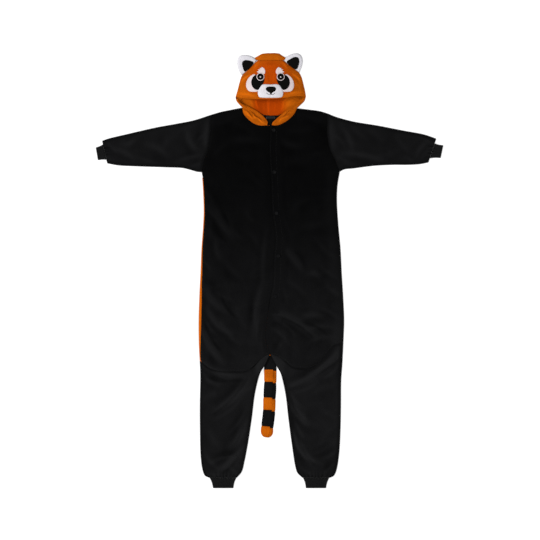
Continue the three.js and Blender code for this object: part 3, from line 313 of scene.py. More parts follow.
# Ridges of the hood's face panel, from the ears down, and slacks in its forehead.
FACE_CREASES = [
    (-77, 802, -121, 758, 8, 5, 3.2),
    (98, 804, 131, 760, -7, 5, 3.0),
    (-104, 786, -126, 738, 5, 6, -1.6),
    (116, 784, 140, 736, -5, 6, -1.6),
    (-126, 724, -56, 714, -3, 7, 2.4),
    (136, 731, 66, 719, 3, 7, 2.6),
    (-44, 856, -62, 828, 2, 6, 1.8),
    (52, 856, 72, 830, -2, 6, 1.8),
    (-20, 850, 30, 852, 2, 7, -0.9),
    (-6, 812, 2, 772, 2, 6, -0.9),
    (20, 806, 16, 776, -1, 5, 0.8),
]

# Slack of the hood's inside: x, y of both ends, bow, half width, height.
LINING_CREASES = [
    (-57, 712, -46, 664, 2, 4.5, 3.4),
    (-80, 700, -66, 668, -2, 6, 2.2),
    (60, 712, 52, 662, -2, 4, 3.0),
    (74, 714, 58, 690, 2, 3.5, 2.6),
    (92, 706, 70, 676, 2, 7, 2.0),
    (-24, 690, -20, 652, 1, 5, 1.0),
    (24, 688, 18, 650, -1, 5, 1.1),
]

# Puckers of the hood's front edges: x, y of both ends, bow, half width, height.
BAND_CREASES = [
    (-102, 662, -70, 634, -4, 4, -1.8),
    (-78, 654, -52, 632, -3, 3.5, -2.0),
    (-58, 636, -34, 622, -2, 3.5, -2.2),
    (-92, 640, -70, 622, -2, 4, 1.2),
    (-44, 622, -24, 606, 2, 3.5, 1.3),
    (-124, 694, -92, 674, -3, 4, -1.4),
    (104, 668, 66, 636, 4, 4.5, -1.6),
    (70, 634, 40, 612, 3, 4, 1.4),
    (84, 648, 50, 622, 3, 3.5, -1.5),
    (126, 690, 96, 672, 3, 4, -1.3),
    (34, 614, 16, 602, -1, 3, -1.2),
]


# ---- plan geometry
def lerp(a, b, t):
    """Straight blend: a where t is 0, b where it is 1."""
    return a + (b - a) * t


def clamp(t):
    """t held between 0 and 1."""
    return np.clip(t, 0.0, 1.0)


def joined(*axes):
    """Grids of x, y and perhaps z as one grid of points."""
    return np.stack(axes, axis=-1)


def smooth(t):
    """S-curve from 0 to 1: three t squared less two t cubed."""
    t = clamp(t)
    return t * t * (3 - 2 * t)


def bell(distance, width):
    """Soft bump: e to minus the square of distance over width."""
    return np.exp(-((distance / width) ** 2))


def spline_points(points, steps=24):
    """Centripetal Catmull-Rom: each stretch between two inner points is blended from the lines
    through its four neighbours, with knots spaced by the square root of their distance."""
    points = np.asarray(points, float)
    gaps = np.sqrt(np.linalg.norm(np.diff(points, axis=0), axis=1))
    knots = np.concatenate([[0], np.cumsum(gaps)])
    count = len(points) - 3
    p0, p1, p2, p3 = (points[k : k + count, None] for k in range(4))
    t0, t1, t2, t3 = (knots[k : k + count, None, None] for k in range(4))
    t = t1 + (t2 - t1) * np.linspace(0, 1, steps, endpoint=False)[None, :, None]
    a1 = ((t1 - t) * p0 + (t - t0) * p1) / (t1 - t0)
    a2 = ((t2 - t) * p1 + (t - t1) * p2) / (t2 - t1)
    a3 = ((t3 - t) * p2 + (t - t2) * p3) / (t3 - t2)
    b1 = ((t2 - t) * a1 + (t - t0) * a2) / (t2 - t0)
    b2 = ((t3 - t) * a2 + (t - t1) * a3) / (t3 - t1)
    return (((t2 - t) * b1 + (t - t1) * b2) / (t2 - t1)).reshape(-1, points.shape[1])


def along(path):
    """A path as a function of the share of its length, 0 to 1."""
    gaps = np.linalg.norm(np.diff(path, axis=0), axis=1)
    share = np.concatenate([[0], np.cumsum(gaps)]) / gaps.sum()

    def at(t):
        return np.stack([np.interp(t, share, path[:, k]) for k in range(path.shape[1])], axis=-1)

    return at


def smooth_line(rows):
    """Smooth open line through the rows of a table; its ends run on straight."""
    rows = np.asarray(rows, float)
    ends = (2 * rows[:1] - rows[1:2], 2 * rows[-1:] - rows[-2:-1])
    path = spline_points(np.vstack([ends[0], rows, ends[1]]))
    return along(np.vstack([path, rows[-1:]]))


def anticlockwise(points):
    """The closed line's points in the order that turns anticlockwise: its signed area is the
    half sum of the cross products of neighbours."""
    x, y = points[:, 0], points[:, 1]
    turn = np.sum(x * np.roll(y, -1) - y * np.roll(x, -1))
    return points if turn > 0 else points[::-1]


def closed_outline(rows, count):
    """Evenly spaced points of the smooth closed line through the rows of a table."""
    rows = np.asarray(rows, float)
    path = spline_points(np.vstack([rows[-1:], rows, rows[:2]]))
    path = np.vstack([path, path[:1]])
    return anticlockwise(along(path)(np.arange(count) / count))


def side_line(is_left, right, left):
    """Smooth line through the right or the left one of two tables."""
    return smooth_line(left if is_left else right)


def plan_frame(path, t, reach):
    """Points of a path on the surface, and its unit directions ahead and to the left there."""
    ahead = path(t + reach) - path(t - reach)
    ahead /= np.linalg.norm(ahead, axis=1)[:, None]
    return path(t), ahead, joined(-ahead[:, 1], ahead[:, 0])


def chain(first, second, cut):
    """Two lines end to end; the first takes the share `cut` of t."""

    def at(t):
        t = np.asarray(t, float)
        before = (t <= cut)[..., None]
        return np.where(before, first(clamp(t / cut)), second(clamp((t - cut) / (1 - cut))))

    return at


def pinned(path, end):
    """A line led to a given end point along its last part, by the fourth power of t."""

    def at(t):
        return path(t) + (end - path(1.0)) * (np.asarray(t, float) ** 4)[..., None]

    return at


def coons(top, bottom, left, right):
    """Plan point (u, v) inside four border lines: both pairs are blended, less the corners."""
    p00, p10, p01, p11 = top(0.0), top(1.0), bottom(0.0), bottom(1.0)

    def at(u, v):
        u, v = np.broadcast_arrays(np.asarray(u, float), np.asarray(v, float))
        a, b = u[..., None], v[..., None]
        across = (1 - b) * top(u) + b * bottom(u) + (1 - a) * left(v) + a * right(v)
        corners = (1 - a) * (1 - b) * p00 + a * (1 - b) * p10 + (1 - a) * b * p01 + a * b * p11
        return across - corners

    return at


def x_at(rows, y):
    """x of a table's line at height y, for a table that runs from high y to low y."""
    rows = np.asarray(rows, float)
    return np.interp(-np.asarray(y, float), -rows[:, 1], rows[:, 0])


def y_at(rows, x):
    """y of a table's line at x, for a table that runs from low x to high x."""
    rows = np.asarray(rows, float)
    return np.interp(x, rows[:, 0], rows[:, 1])


def crease_height(x, y, rows, foot=0.3):
    """Sum of soft bells across bowed lines, each with a shallow trough at its foot on one side,
    fading towards its ends."""
    height = np.zeros_like(x)
    for x0, y0, x1, y1, bow, width, rise in rows:
        dx, dy = x1 - x0, y1 - y0
        length = math.hypot(dx, dy)
        t = ((x - x0) * dx + (y - y0) * dy) / length**2
        near = clamp(t)
        beyond = (t - near) * length
        across = ((x - x0) * dy - (y - y0) * dx) / length - 4 * bow * near * (1 - near)
        ridge = bell(np.hypot(across, beyond), width)
        trough = bell(np.hypot(across - 1.8 * width, beyond), 1.3 * width)
        height += rise * (0.35 + 0.65 * np.sin(np.pi * near)) * (ridge - foot * trough)
    return height


def unevenness(x, y, size, seed):
    """Value noise from -1 to 1: seeded heights on a lattice, blended by the S-curve."""
    table = np.random.default_rng(seed).uniform(-1, 1, (128, 128))
    i, j = np.floor(x / size).astype(int), np.floor(y / size).astype(int)
    a, b = smooth(x / size - i), smooth(y / size - j)
    corner = [[table[(i + m) % 128, (j + n) % 128] for n in (0, 1)] for m in (0, 1)]
    low = lerp(corner[0][0], corner[0][1], b)
    high = lerp(corner[1][0], corner[1][1], b)
    return lerp(low, high, a)


def rumple(x, y, seed):
    """Small irregular swells: warped value noise at two sizes, with soft crests."""
    wx = x + 26 * unevenness(x, y, 90, seed + 1)
    wy = y + 26 * unevenness(x, y, 90, seed + 2)
    swell = unevenness(wx, wy * 0.8, 64, seed + 3)
    crest = 1 - 2 * np.abs(unevenness(wx * 0.9, wy * 1.3, 46, seed + 4))
    fine = unevenness(wx, wy, 19, seed + 5)
    return 0.75 * swell + 0.55 * crest + 0.18 * fine


def tail_arch(x, y, spread=0):
    """The seat and the legs arch over the flat root of the tail that lies under them."""
    across = 1 - smooth((np.abs(x - TAIL_X) - ARCH_HALF - spread) / ARCH_SLOPE)
    begins = smooth((ARCH_TOP + spread - y) / ARCH_RAMP)
    lasts = 1 - smooth((ARCH_END - y) / ARCH_RAMP)
    return (TAIL_ROOT_HEIGHT + 2 * SEAM) * across * (begins * lasts)


# ---- meshes
RIM = 1.2  # radius of a cut edge
NO_TRIANGLES = np.zeros((0, 3), int)
NO_CORNERS = np.zeros((0, 3, 2))


def steps(count, size):
    """Shares 0 to 1 across a piece of that size, with close ones within its rounded rim."""
    edge = RIM / size
    inner = np.linspace(edge * 1.6, 1 - edge * 1.6, count)
    near = np.array([0, 0.12, 0.4, 1.0]) * edge
    return np.concatenate([near, inner, 1 - near[::-1]])


def grid_quads(rows, cols):
    """Corner indices of each quad of a grid of points."""
    i, j = np.meshgrid(np.arange(rows - 1), np.arange(cols - 1), indexing="ij")
    a = (i * cols + j).ravel()
    return np.stack([a, a + cols, a + cols + 1, a + 1], axis=1)


def arc_lengths(points, axis):
    """Running length along a grid's lines, averaged over its other axis."""
    gaps = np.linalg.norm(np.diff(points, axis=axis), axis=-1).mean(axis=1 - axis)
    return np.concatenate([[0], np.cumsum(gaps)])


def turned_out(vertices, quads, triangles):
    """True if the faces point outwards: the tetrahedra to the origin add up to a volume."""
    fans = [triangles, quads[:, [0, 1, 2]], quads[:, [0, 2, 3]]]
    a, b, c = (vertices[np.vstack(fans)[:, k]] for k in range(3))
    return float(np.einsum("ij,ij->", a, np.cross(b, c))) > 0


def write_mesh(name, vertices, quads, triangles, quad_uv, triangle_uv, values):
    """A mesh object at the origin, from points in millimetres. Each face corner has its place on
    the cloth, and each point the attributes in `values`."""
    if not turned_out(vertices, quads, triangles):
        quads, quad_uv = quads[:, ::-1], quad_uv[:, ::-1]
        triangles, triangle_uv = triangles[:, ::-1], triangle_uv[:, ::-1]
    mesh = bpy.data.meshes.new(name)
    loops = np.concatenate([quads.ravel(), triangles.ravel()]).astype(np.int32)
    first = 4 * np.arange(len(quads))
    starts = np.concatenate([first, 4 * len(quads) + 3 * np.arange(len(triangles))])
    mesh.vertices.add(len(vertices))
    mesh.vertices.foreach_set("co", (vertices * MM).astype(np.float32).ravel())
    mesh.loops.add(len(loops))
    mesh.loops.foreach_set("vertex_index", loops)
    mesh.polygons.add(len(starts))
    mesh.polygons.foreach_set("loop_start", starts.astype(np.int32))
    layer = mesh.uv_layers.new(name="cloth")
    corners = np.concatenate([quad_uv.reshape(-1, 2), triangle_uv.reshape(-1, 2)]) * MM
    layer.data.foreach_set("uv", corners.astype(np.float32).ravel())
    for key, value in values.items():
        attribute = mesh.attributes.new(key, "FLOAT", "POINT")
        attribute.data.foreach_set("value", value.astype(np.float32).ravel())
    mesh.update(calc_edges=True)
    mesh.validate()
    mesh.shade_smooth()
    piece = bpy.data.objects.new(name, mesh)
    bpy.context.scene.collection.objects.link(piece)
    return piece


def rounded_rim(outer, inner, ring, radius=RIM):
    """Both faces of a wall drawn to its middle near its free borders, as a quarter circle."""
    gap = np.ones(outer.shape[:2])
    for axis in (0,) if ring else (0, 1):
        lengths = np.linalg.norm(np.diff(outer, axis=axis), axis=-1)
        start = np.zeros_like(np.take(outer[..., 0], [0], axis=axis))
        run = np.concatenate([start, np.cumsum(lengths, axis=axis)], axis=axis)
        back = np.take(run, [-1], axis=axis) - run
        near = clamp(np.minimum(run, back) / radius)
        gap = np.minimum(gap, np.sqrt(1 - (1 - near) ** 2))
    gap = np.maximum(gap, 0.12)[..., None]
    middle = (outer + inner) / 2
    return middle + (outer - middle) * gap, middle + (inner - middle) * gap


def cloth_places(points, is_closed):
    """Place on the flat cloth of each point of a grid; a closed one gets its first column twice."""
    around = np.concatenate([points, points[:, :1]], axis=1) if is_closed else points
    across, down = arc_lengths(around, 1), arc_lengths(around, 0)
    return np.stack(np.meshgrid(across, down, indexing="xy"), axis=-1).reshape(-1, 2)


def rim_pairs(cells, wide, ring):
    """Both ends of each border edge of a grid's cells: first and last rows, and columns too
    where the grid doesn't close on itself."""
    pairs = [cells[:, [0, 3]][: wide - 1], cells[:, [2, 1]][-(wide - 1) :]]
    if not ring:
        pairs += [cells[:, [1, 0]][:: wide - 1], cells[:, [3, 2]][wide - 2 :: wide - 1]]
    return np.concatenate(pairs)


def shell(name, outer, inner, ring=False, ridge=None, rounded=True):
    """A closed wall between an outer and an inner grid of points. A ring joins its last column
    to its first."""
    if rounded:
        outer, inner = rounded_rim(outer, inner, ring)
    rows, cols = outer.shape[:2]
    wide = cols + 1 if ring else cols
    vertices = np.concatenate([outer.reshape(-1, 3), inner.reshape(-1, 3)])
    cells = grid_quads(rows, wide)
    index = (cells // wide) * cols + (cells % wide) % cols
    far = rows * cols
    edge, edge_uv = rim_pairs(index, wide, ring), rim_pairs(cells, wide, ring)
    rim = np.concatenate([edge, edge[:, ::-1] + far], axis=1)
    rim_uv = np.concatenate([edge_uv, edge_uv[:, ::-1]], axis=1)
    quads = np.concatenate([index, index[:, ::-1] + far, rim])
    corners = cloth_places(outer, ring)[np.concatenate([cells, cells[:, ::-1], rim_uv])]
    # The ridge values become painted light and shade in the fleece and rib materials; the inner
    # face gets none.
    height = np.zeros(outer.shape[:2]) if ridge is None else ridge
    values = {"ridge": np.concatenate([height.ravel(), 0 * height.ravel()])}
    return write_mesh(name, vertices, quads, NO_TRIANGLES, corners, NO_CORNERS, values)


def rounds(name, sections, ridge=None):
    """A closed body through rings of points. Its first and last rings close on their middles."""
    rows, cols = sections.shape[:2]
    wide = cols + 1
    poles = np.stack([sections[0].mean(axis=0), sections[-1].mean(axis=0)])
    vertices = np.concatenate([sections.reshape(-1, 3), poles])
    place = cloth_places(sections, True)
    cells = grid_quads(rows, wide)
    index = (cells // wide) * cols + (cells % wide) % cols
    j = np.arange(cols)
    after = (j + 1) % cols
    last, last_uv = (rows - 1) * cols, (rows - 1) * wide
    fans = np.concatenate([
        np.stack([np.full(cols, rows * cols), j, after], axis=1),
        np.stack([np.full(cols, rows * cols + 1), last + after, last + j], axis=1),
    ])
    fans_uv = np.concatenate([
        np.stack([j, j, j + 1], axis=1),
        np.stack([last_uv + j, last_uv + j + 1, last_uv + j], axis=1),
    ])
    height = np.zeros(sections.shape[:2]) if ridge is None else ridge
    values = {"ridge": np.concatenate([height.ravel(), height[0, :1], height[-1, :1]])}
    return write_mesh(name, vertices, index, fans, place[cells], place[fans_uv], values)


# ---- materials
SHEEN_ROUGHNESS = 0.4
ORANGE_NAP = (1, 0.45, 0.15)
WHITE_NAP = (1, 1, 1)
PAPER = (0.22, 0.22, 0.22)
FLOOR_GLOW = 0.85  # light that comes through the floor paper
COVERED = 0.005  # metres above the paper within which cloth covers it


class Finish:
    """A node material under construction, with short calls for the nodes that it needs."""

    def __init__(self, name):
        self.material = bpy.data.materials.new(name)
        self.material.use_nodes = True
        self.tree = self.material.node_tree
        self.tree.nodes.clear()
        self.shader = self.tree.nodes.new("ShaderNodeBsdfPrincipled")
        output = self.tree.nodes.new("ShaderNodeOutputMaterial")
        self.tree.links.new(self.shader.outputs["BSDF"], output.inputs["Surface"])

    def node(self, kind, **inputs):
        made = self.tree.nodes.new(kind)
        for key, value in inputs.items():
            self.put(made, key.replace("_", " "), value)
        return made

    def put(self, node, socket, value):
        if isinstance(value, bpy.types.NodeSocket):
            self.tree.links.new(value, node.inputs[socket])
        else:
            node.inputs[socket].default_value = value

    def place(self, stretch=(1, 1, 1), turn=0.0, on_cloth=False):
        """Object coordinates, or the piece's own cloth map, stretched and turned."""
        source = self.node("ShaderNodeTexCoord").outputs["UV" if on_cloth else "Object"]
        mapping = self.node("ShaderNodeMapping", Vector=source, Scale=stretch)
        mapping.inputs["Rotation"].default_value = (0, 0, turn)
        return mapping.outputs["Vector"]

    def noise(self, scale, detail, roughness, vector):
        made = self.node("ShaderNodeTexNoise", Scale=scale, Detail=detail, Roughness=roughness,
                         Vector=vector)
        return made.outputs["Fac"]

    def math(self, operation, a, b):
        made = self.node("ShaderNodeMath")
        made.operation = operation
        self.put(made, 0, a)
        self.put(made, 1, b)
        return made.outputs[0]

    def spread(self, value, low, high, to_low=0.0, to_high=1.0):
        made = self.node("ShaderNodeMapRange", Value=value)
        for key, number in zip(("From Min", "From Max", "To Min", "To Max"),
                               (low, high, to_low, to_high)):
            made.inputs[key].default_value = number
        return made.outputs["Result"]

    def mix(self, share, first, second):
        made = self.node("ShaderNodeMix")
        made.data_type = "RGBA"
        self.put(made, 0, share)
        self.put(made, 6, first)
        self.put(made, 7, second)
        return made.outputs[2]

    def away_from(self, centre, near, far, stretch=(1, 1, 1)):
        """0 within `near` metres of a place on the garment, 1 beyond `far`, soft between."""
        moved = self.node("ShaderNodeVectorMath", Vector=self.place())
        moved.operation = "SUBTRACT"
        moved.inputs[1].default_value = centre
        flattened = self.node("ShaderNodeVectorMath", Vector=moved.outputs["Vector"])
        flattened.operation = "MULTIPLY"
        flattened.inputs[1].default_value = stretch
        length = self.node("ShaderNodeVectorMath", Vector=flattened.outputs["Vector"])
        length.operation = "LENGTH"
        share = self.spread(length.outputs["Value"], near, far)
        share.node.interpolation_type = "SMOOTHSTEP"
        return share

    def ridge(self):
        made = self.node("ShaderNodeAttribute")
        made.attribute_name = "ridge"
        return made.outputs["Fac"]

    def bump(self, height, distance, strength=1.0, under=None):
        made = self.node("ShaderNodeBump", Height=height, Distance=distance, Strength=strength)
        if under is not None:
            self.put(made, "Normal", under)
        return made.outputs["Normal"]

    def finish(self, colour, normal, roughness, sheen, sheen_tint, specular):
        self.put(self.shader, "Base Color", colour)
        self.put(self.shader, "Normal", normal)
        self.put(self.shader, "Roughness", roughness)
        self.shader.inputs["Specular IOR Level"].default_value = specular
        self.shader.inputs["Sheen Weight"].default_value = sheen
        self.shader.inputs["Sheen Roughness"].default_value = SHEEN_ROUGHNESS
        self.shader.inputs["Sheen Tint"].default_value = (*sheen_tint, 1)
        return self.material


def scaled(colour, share):
    """A colour made lighter or darker, opaque, with no part above 1."""
    return (*(min(1.0, c * share) for c in colour[:3]), 1)


def fleece(name, colour, lift, sheen, tint=WHITE_NAP, nap=1.0, far=None):
    """Brushed plush: short nap, tufts, wide patches where the nap lies another way, and painted
    light along the crests of folds with painted shade in their troughs. `far` is a second colour
    with the place that it is far from."""
    f = Finish(name)
    pile = f.noise(1150, 2, 0.7, f.place((1, 1, 1)))
    tufts = f.noise(240, 3, 0.6, f.place((1, 0.55, 1), 0.3))
    strokes = f.noise(17, 3, 0.55, f.place((1, 0.5, 1), -0.25))
    # Painted light on fold crests and painted shade in their troughs, from the ridge values.
    crest = f.spread(f.ridge(), -1.5, 4.5)
    lie = f.math("ADD", f.math("MULTIPLY", strokes, 0.5), f.math("MULTIPLY", tufts, 0.3))
    light = f.math("ADD", lie, crest)
    light = f.math("ADD", light, f.math("MULTIPLY", pile, 0.25))
    share = f.spread(light, 0.35, 1.3)
    tone = f.mix(share, scaled(colour, 0.68), scaled(colour, lift))
    if far:
        other, centre, near, end, stretch = far
        second = f.mix(share, scaled(other, 0.68), scaled(other, lift))
        tone = f.mix(f.away_from(centre, near, end, stretch), tone, second)
    under = f.bump(tufts, 0.0016 * nap, 0.55)
    return f.finish(tone, f.bump(pile, 0.0008 * nap, 0.7, under),
                    f.spread(strokes, 0.3, 0.7, 0.88, 1.0), sheen, tint, 0.005)


def rib_knit(name, colour):
    """Knitted rib: small loops in rows along each raised rib, with painted shade in the grooves."""
    f = Finish(name)
    loops = f.node("ShaderNodeTexWave", Vector=f.place((1, 1, 1), 0, True), Scale=62.0,
                   Distortion=1.6)
    loops.bands_direction = "Y"
    loops.inputs["Detail"].default_value = 1.0
    loops.inputs["Detail Scale"].default_value = 14.0
    fuzz = f.noise(900, 2, 0.6, f.place())
    # Painted shade in the grooves between the ribs and painted light on their tops.
    groove_shade = f.spread(f.ridge(), -0.6, 0.6)
    light = f.math("ADD", f.math("MULTIPLY", groove_shade, 0.65),
                   f.math("MULTIPLY", loops.outputs["Fac"], 0.35))
    tone = f.mix(light, scaled(colour, 0.45), scaled(colour, 1.35))
    under = f.bump(loops.outputs["Fac"], 0.0009, 0.7)
    return f.finish(tone, f.bump(fuzz, 0.0004, 0.5, under), 0.95, 0.04, WHITE_NAP, 0.05)


def short_cloth(name, colour, sheen, grain=1.0):
    """Short cut-and-sewn cloth of the face: a fine close nap and a faint mottle."""
    f = Finish(name)
    fibres = f.noise(1500, 3, 0.7, f.place((1, 1, 1)))
    mottle = f.noise(150, 3, 0.6, f.place((1, 0.7, 1), 0.5))
    patches = f.noise(30, 2, 0.5, f.place())
    light = f.math("ADD", f.math("MULTIPLY", mottle, 0.5), f.math("MULTIPLY", fibres, 0.3))
    light = f.math("ADD", light, f.math("MULTIPLY", patches, 0.3))
    tone = f.mix(f.spread(light, 0.4, 0.72), scaled(colour, 0.86), scaled(colour, 1.1))
    under = f.bump(mottle, 0.0009 * grain, 0.5)
    return f.finish(tone, f.bump(fibres, 0.0005 * grain, 0.6, under), 0.95, sheen, WHITE_NAP, 0.02)


def spun_thread(name, colour):
    """Sewing thread: fine slanting twist and a soft gloss."""
    f = Finish(name)
    twist = f.node("ShaderNodeTexWave", Vector=f.place((1, 1, 1), 0.6), Scale=900.0)
    tone = f.mix(twist.outputs["Fac"], scaled(colour, 0.7), scaled(colour, 1.25))
    return f.finish(tone, f.bump(twist.outputs["Fac"], 0.0002, 0.5), 0.7, 0.03, WHITE_NAP, 0.15)


def button_plastic(name, colour):
    """Moulded resin: faint swirls under a worn gloss with hair scratches."""
    f = Finish(name)
    swirl = f.noise(220, 2, 0.5, f.place((1, 1, 1), 0.4))
    scratches = f.noise(900, 1, 0.5, f.place((1, 0.06, 1), 0.9))
    tone = f.mix(f.spread(swirl, 0.35, 0.65), scaled(colour, 0.8), scaled(colour, 1.5))
    gloss = f.spread(scratches, 0.4, 0.65, 0.55, 0.7)
    return f.finish(tone, f.bump(scratches, 0.00006, 0.4), gloss, 0.0, WHITE_NAP, 0.04)


def floor_paper(name, colour):
    """Plain pale studio paper with a barely visible tooth. It glows a little wherever it lies open,
    so that the garment casts no shadow beside it, and stays dark under the cloth, where ambient
    occlusion dims the glow; this also paints a thin contact shadow along the cloth's edges."""
    f = Finish(name)
    f.shader.inputs["Emission Color"].default_value = (1, 1, 1, 1)
    # Painted contact shade: the glow fades where cloth lies within a few millimetres above the
    # paper.
    open_share = f.node("ShaderNodeAmbientOcclusion", Distance=COVERED).outputs["AO"]
    f.put(f.shader, "Emission Strength", f.math("MULTIPLY", open_share, FLOOR_GLOW))
    tooth = f.noise(400, 2, 0.5, f.place())
    tone = f.mix(tooth, scaled(colour, 0.99), scaled(colour, 1.0))
    return f.finish(tone, f.bump(tooth, 0.0001, 0.1), 0.9, 0.0, WHITE_NAP, 0.1)


MADE = {}


def fleece_finishes(s):
    """Makers of the plush finishes from the settings, by kind. The last value of some is a second
    colour, the place that it is far from, where it begins and is full, and how the way to it is
    stretched."""
    # Painted shade: the fronts grow darker upwards, most over the chest.
    below = (scaled(s.black, 0.42), (0, -0.45, 0), 0.05, 0.92, (0.15, 1, 0))
    around = (s.orange_light, (0.004, 0.795, 0), 0.035, 0.125, (1, 1.1, 0))
    # Painted light: the inside of the hood turns lighter towards its sides, away from the painted
    # shade under the brim.
    inside_sides_lit = (scaled(s.orange_light, 0.95), (-0.004, 0.66, 0), 0.045, 0.085, (1, 0.2, 0))
    # The sleeves and legs take a lighter copy of the fronts' black: painted light on the raised
    # tubes.
    front, limb = scaled(s.black, 1.22), scaled(s.black, 1.4)
    return {
        "front_fleece": lambda: fleece(
            "front fleece", front, 2.3, s.black_sheen, WHITE_NAP, 1.0, below),
        "black_fleece": lambda: fleece("black fleece", limb, 2.3, s.black_sheen),
        "sleeve_fleece": lambda: fleece("sleeve fleece", limb, 1.8, s.black_sheen),
        "tail_black": lambda: fleece("tail black fleece", s.black, 2.4, s.black_sheen),
        "orange_fleece": lambda: fleece("orange fleece", s.orange_light, 1.35, 0.06, ORANGE_NAP),
        "face_fleece": lambda: fleece(
            "face fleece", s.orange, 1.35, 0.06, ORANGE_NAP, 1.0, around),
        "orange_light": lambda: fleece(
            "light orange fleece", s.orange_light, 1.4, 0.06, ORANGE_NAP),
        # A darker copy of the orange: painted shade inside the hood under the brim and on the
        # edge-on side roll.
        "orange_deep": lambda: fleece(
            "shaded orange fleece", s.orange_deep, 1.35, 0.05, ORANGE_NAP, 0.7, inside_sides_lit),
        "white_fleece": lambda: fleece("white fleece", s.ear, 1.08, 0.1, WHITE_NAP, 0.8),
    }


def other_finishes(s):
    """Makers of the face cloths, rib, threads, resin and paper from the settings, by kind."""
    return {
        "white_cloth": lambda: short_cloth("white face cloth", s.white, 0.05),
        "muzzle_cloth": lambda: short_cloth("muzzle cloth", s.muzzle, 0.05),
        "black_cloth": lambda: short_cloth("black face cloth", s.face_black, 0.02),
        "facing_cloth": lambda: short_cloth("neck facing cloth", s.face_black, 0.02, 1.5),
        "label_cloth": lambda: short_cloth("bare label cloth", s.label, 0.02, 0.5),
        "black_rib": lambda: rib_knit("black rib knit", s.rib),
        "black_thread": lambda: spun_thread("black thread", scaled(s.black, 1.2)),
        "orange_thread": lambda: spun_thread("orange thread", s.orange_light),
        "white_thread": lambda: spun_thread("white thread", s.white),
        "button": lambda: button_plastic("button resin", s.button),
        "paper": lambda: floor_paper("floor paper", PAPER),
    }


def finish_of(kind):
    """The material of that kind, made once from the settings' colours."""
    if kind not in MADE:
        s = bpy.context.scene.onesie
        makers = {**fleece_finishes(s), **other_finishes(s)}
        MADE[kind] = makers[kind]()
    return MADE[kind]


# ---- dressing the frame
def dress(piece, kind, slot, nodes=()):
    """The piece gets its finish, rides on the garment's one body and stands for its nodes."""
    piece.data.materials.clear()
    piece.data.materials.append(finish_of(kind))
    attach(piece, "root")
    if nodes:
        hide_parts(*nodes)
    return piece


# ---- body
ARM_SHARE = 0.24  # share of a side border taken by the armhole
NECK_AT = 0.46  # share of a front's top border taken by the shoulder
FAR = 60  # farther from an edge than any dip reaches
BESIDE_EDGE = 0.05  # share of a panel's width that gives way to the roll at its right side


def rumpled(x, y, seed, settings):
    """Height that all folds, creases and swells add to a laid panel."""
    folds = crease_height(x, y, FOLDS) + settings.crease * crease_height(x, y, CREASES, 0.45)
    busy = 0.75 + 0.7 * bell(np.hypot(x - 4, (y + 290) * 0.8), 150)
    busy = busy + 0.7 * bell((y + 810), 90) + 0.5 * bell(np.abs(x) - 300, 60)
    return folds + settings.rumple * busy * rumple(x, y, seed)


# Width of the back's roll that shows beside the right front: y, width.
ROLL_SHOWN = [(404, 2.4), (125, 3.2), (43, 4.6), (-39, 6.6), (-121, 9.6), (-203, 10.2),
    (-285, 7.4), (-346, 3.6)]


def roll_shown(y):
    """Width of the roll at height y, a little uneven."""
    table = np.array(ROLL_SHOWN, float)
    return np.interp(-y, -table[:, 0], table[:, 1]) + 0.4 * unevenness(y, 0 * y, 45, 5)


def lap_lift(x, y):
    """Height that lifts the left front over the right front along the closure."""
    across = 1 - smooth((x - x_at(CENTRE, y) - LAP - 12) / 22)
    down = 1 - smooth((LAP_END - 20 - y) / 26)
    return (CLOTH + 2 * SEAM) * across * down


def seam_level(x, y):
    """Height of the top layer where two panels are sewn together."""
    return 6.4 + 0.55 * crease_height(x, y, FOLDS) + tail_arch(x, y, ARCH_AT_FRONT)


def puckers(distance, run):
    """Small gathers along a seam: waves along it that fade within a centimetre."""
    waves = np.sin(run / 3.1) + 0.6 * np.sin(run / 1.9 + 1.3)
    return 0.16 * waves * bell(distance, 7)


def beside_seam(x, y, distance, run):
    """Height close to a seam: its level, dipping to the thread and puckered along it."""
    return seam_level(x, y) - DIP * bell(distance, DIP_WIDTH) + puckers(distance, run)


def front_plan(is_left):
    """A front inside its four borders. The right one runs on under the left one by the lap."""
    middle = smooth_line(CENTRE)

    def closure(t):
        points = middle(t)
        if is_left:
            return points
        shift = LAP * clamp((points[..., 1] - LAP_END) / 12)
        return points + joined(shift, 0 * shift)

    shoulder = side_line(is_left, SHOULDER_RIGHT, SHOULDER_LEFT)
    neck = pinned(side_line(is_left, NECK_RIGHT, NECK_LEFT), closure(0.0))
    armhole = side_line(is_left, ARMHOLE_RIGHT, ARMHOLE_LEFT)
    side = side_line(is_left, SIDE_RIGHT, SIDE_LEFT)
    thigh = side_line(is_left, THIGH_RIGHT, THIGH_LEFT)
    return coons(chain(shoulder, neck, NECK_AT), thigh, chain(armhole, side, ARM_SHARE), closure)


def roll_wrap(plan, v, is_left):
    """How fully the roll lies on a front's side at v, 0 to 1, and its width as a share of u."""
    at_side = plan(np.zeros_like(v), v)
    slope = np.abs(plan(0.02 + 0 * v, v) - at_side)[..., 0] / 0.02
    below_arm = clamp((UNDERARM_Y - at_side[..., 1]) / WRAP_RAMP)
    wrap = below_arm * (v > ARM_SHARE) * (not is_left)
    return wrap, (roll_shown(at_side[..., 1]) + SEAM) * wrap / slope


def front_folds(x, y, to_centre, from_edge, is_left, settings):
    """Loft, folds and rumples of a front, calm along the closure and at its borders: the rise over
    the cloth below, and the share of it that paints light on fold crests and shade in their
    troughs."""
    calm_width = np.where((y > LAP_END - 50) & is_left, LAP + 6, 4)
    free = smooth((to_centre - calm_width) / 22)
    loft = settings.loft + 1.4 * bell(from_edge - 24, 20)
    added = loft + rumpled(x, y, 11 if is_left else 31, settings)
    rise = np.maximum(-1.0, added * (0.22 + 0.78 * free)) * smooth(from_edge / 14)
    return np.maximum(0, rise), (added - settings.loft) * free


def placket(y, to_centre):
    """Relief of the left front's doubled edge: a raised fold between two sewn grooves."""
    above_end = y > LAP_END
    fold = 0.5 * smooth(1 - np.abs(to_centre - 8) / 9)
    return (fold - 0.9 * bell(to_centre - LAP, 2.2) - 0.7 * bell(to_centre - 6, 1.3)) * above_end


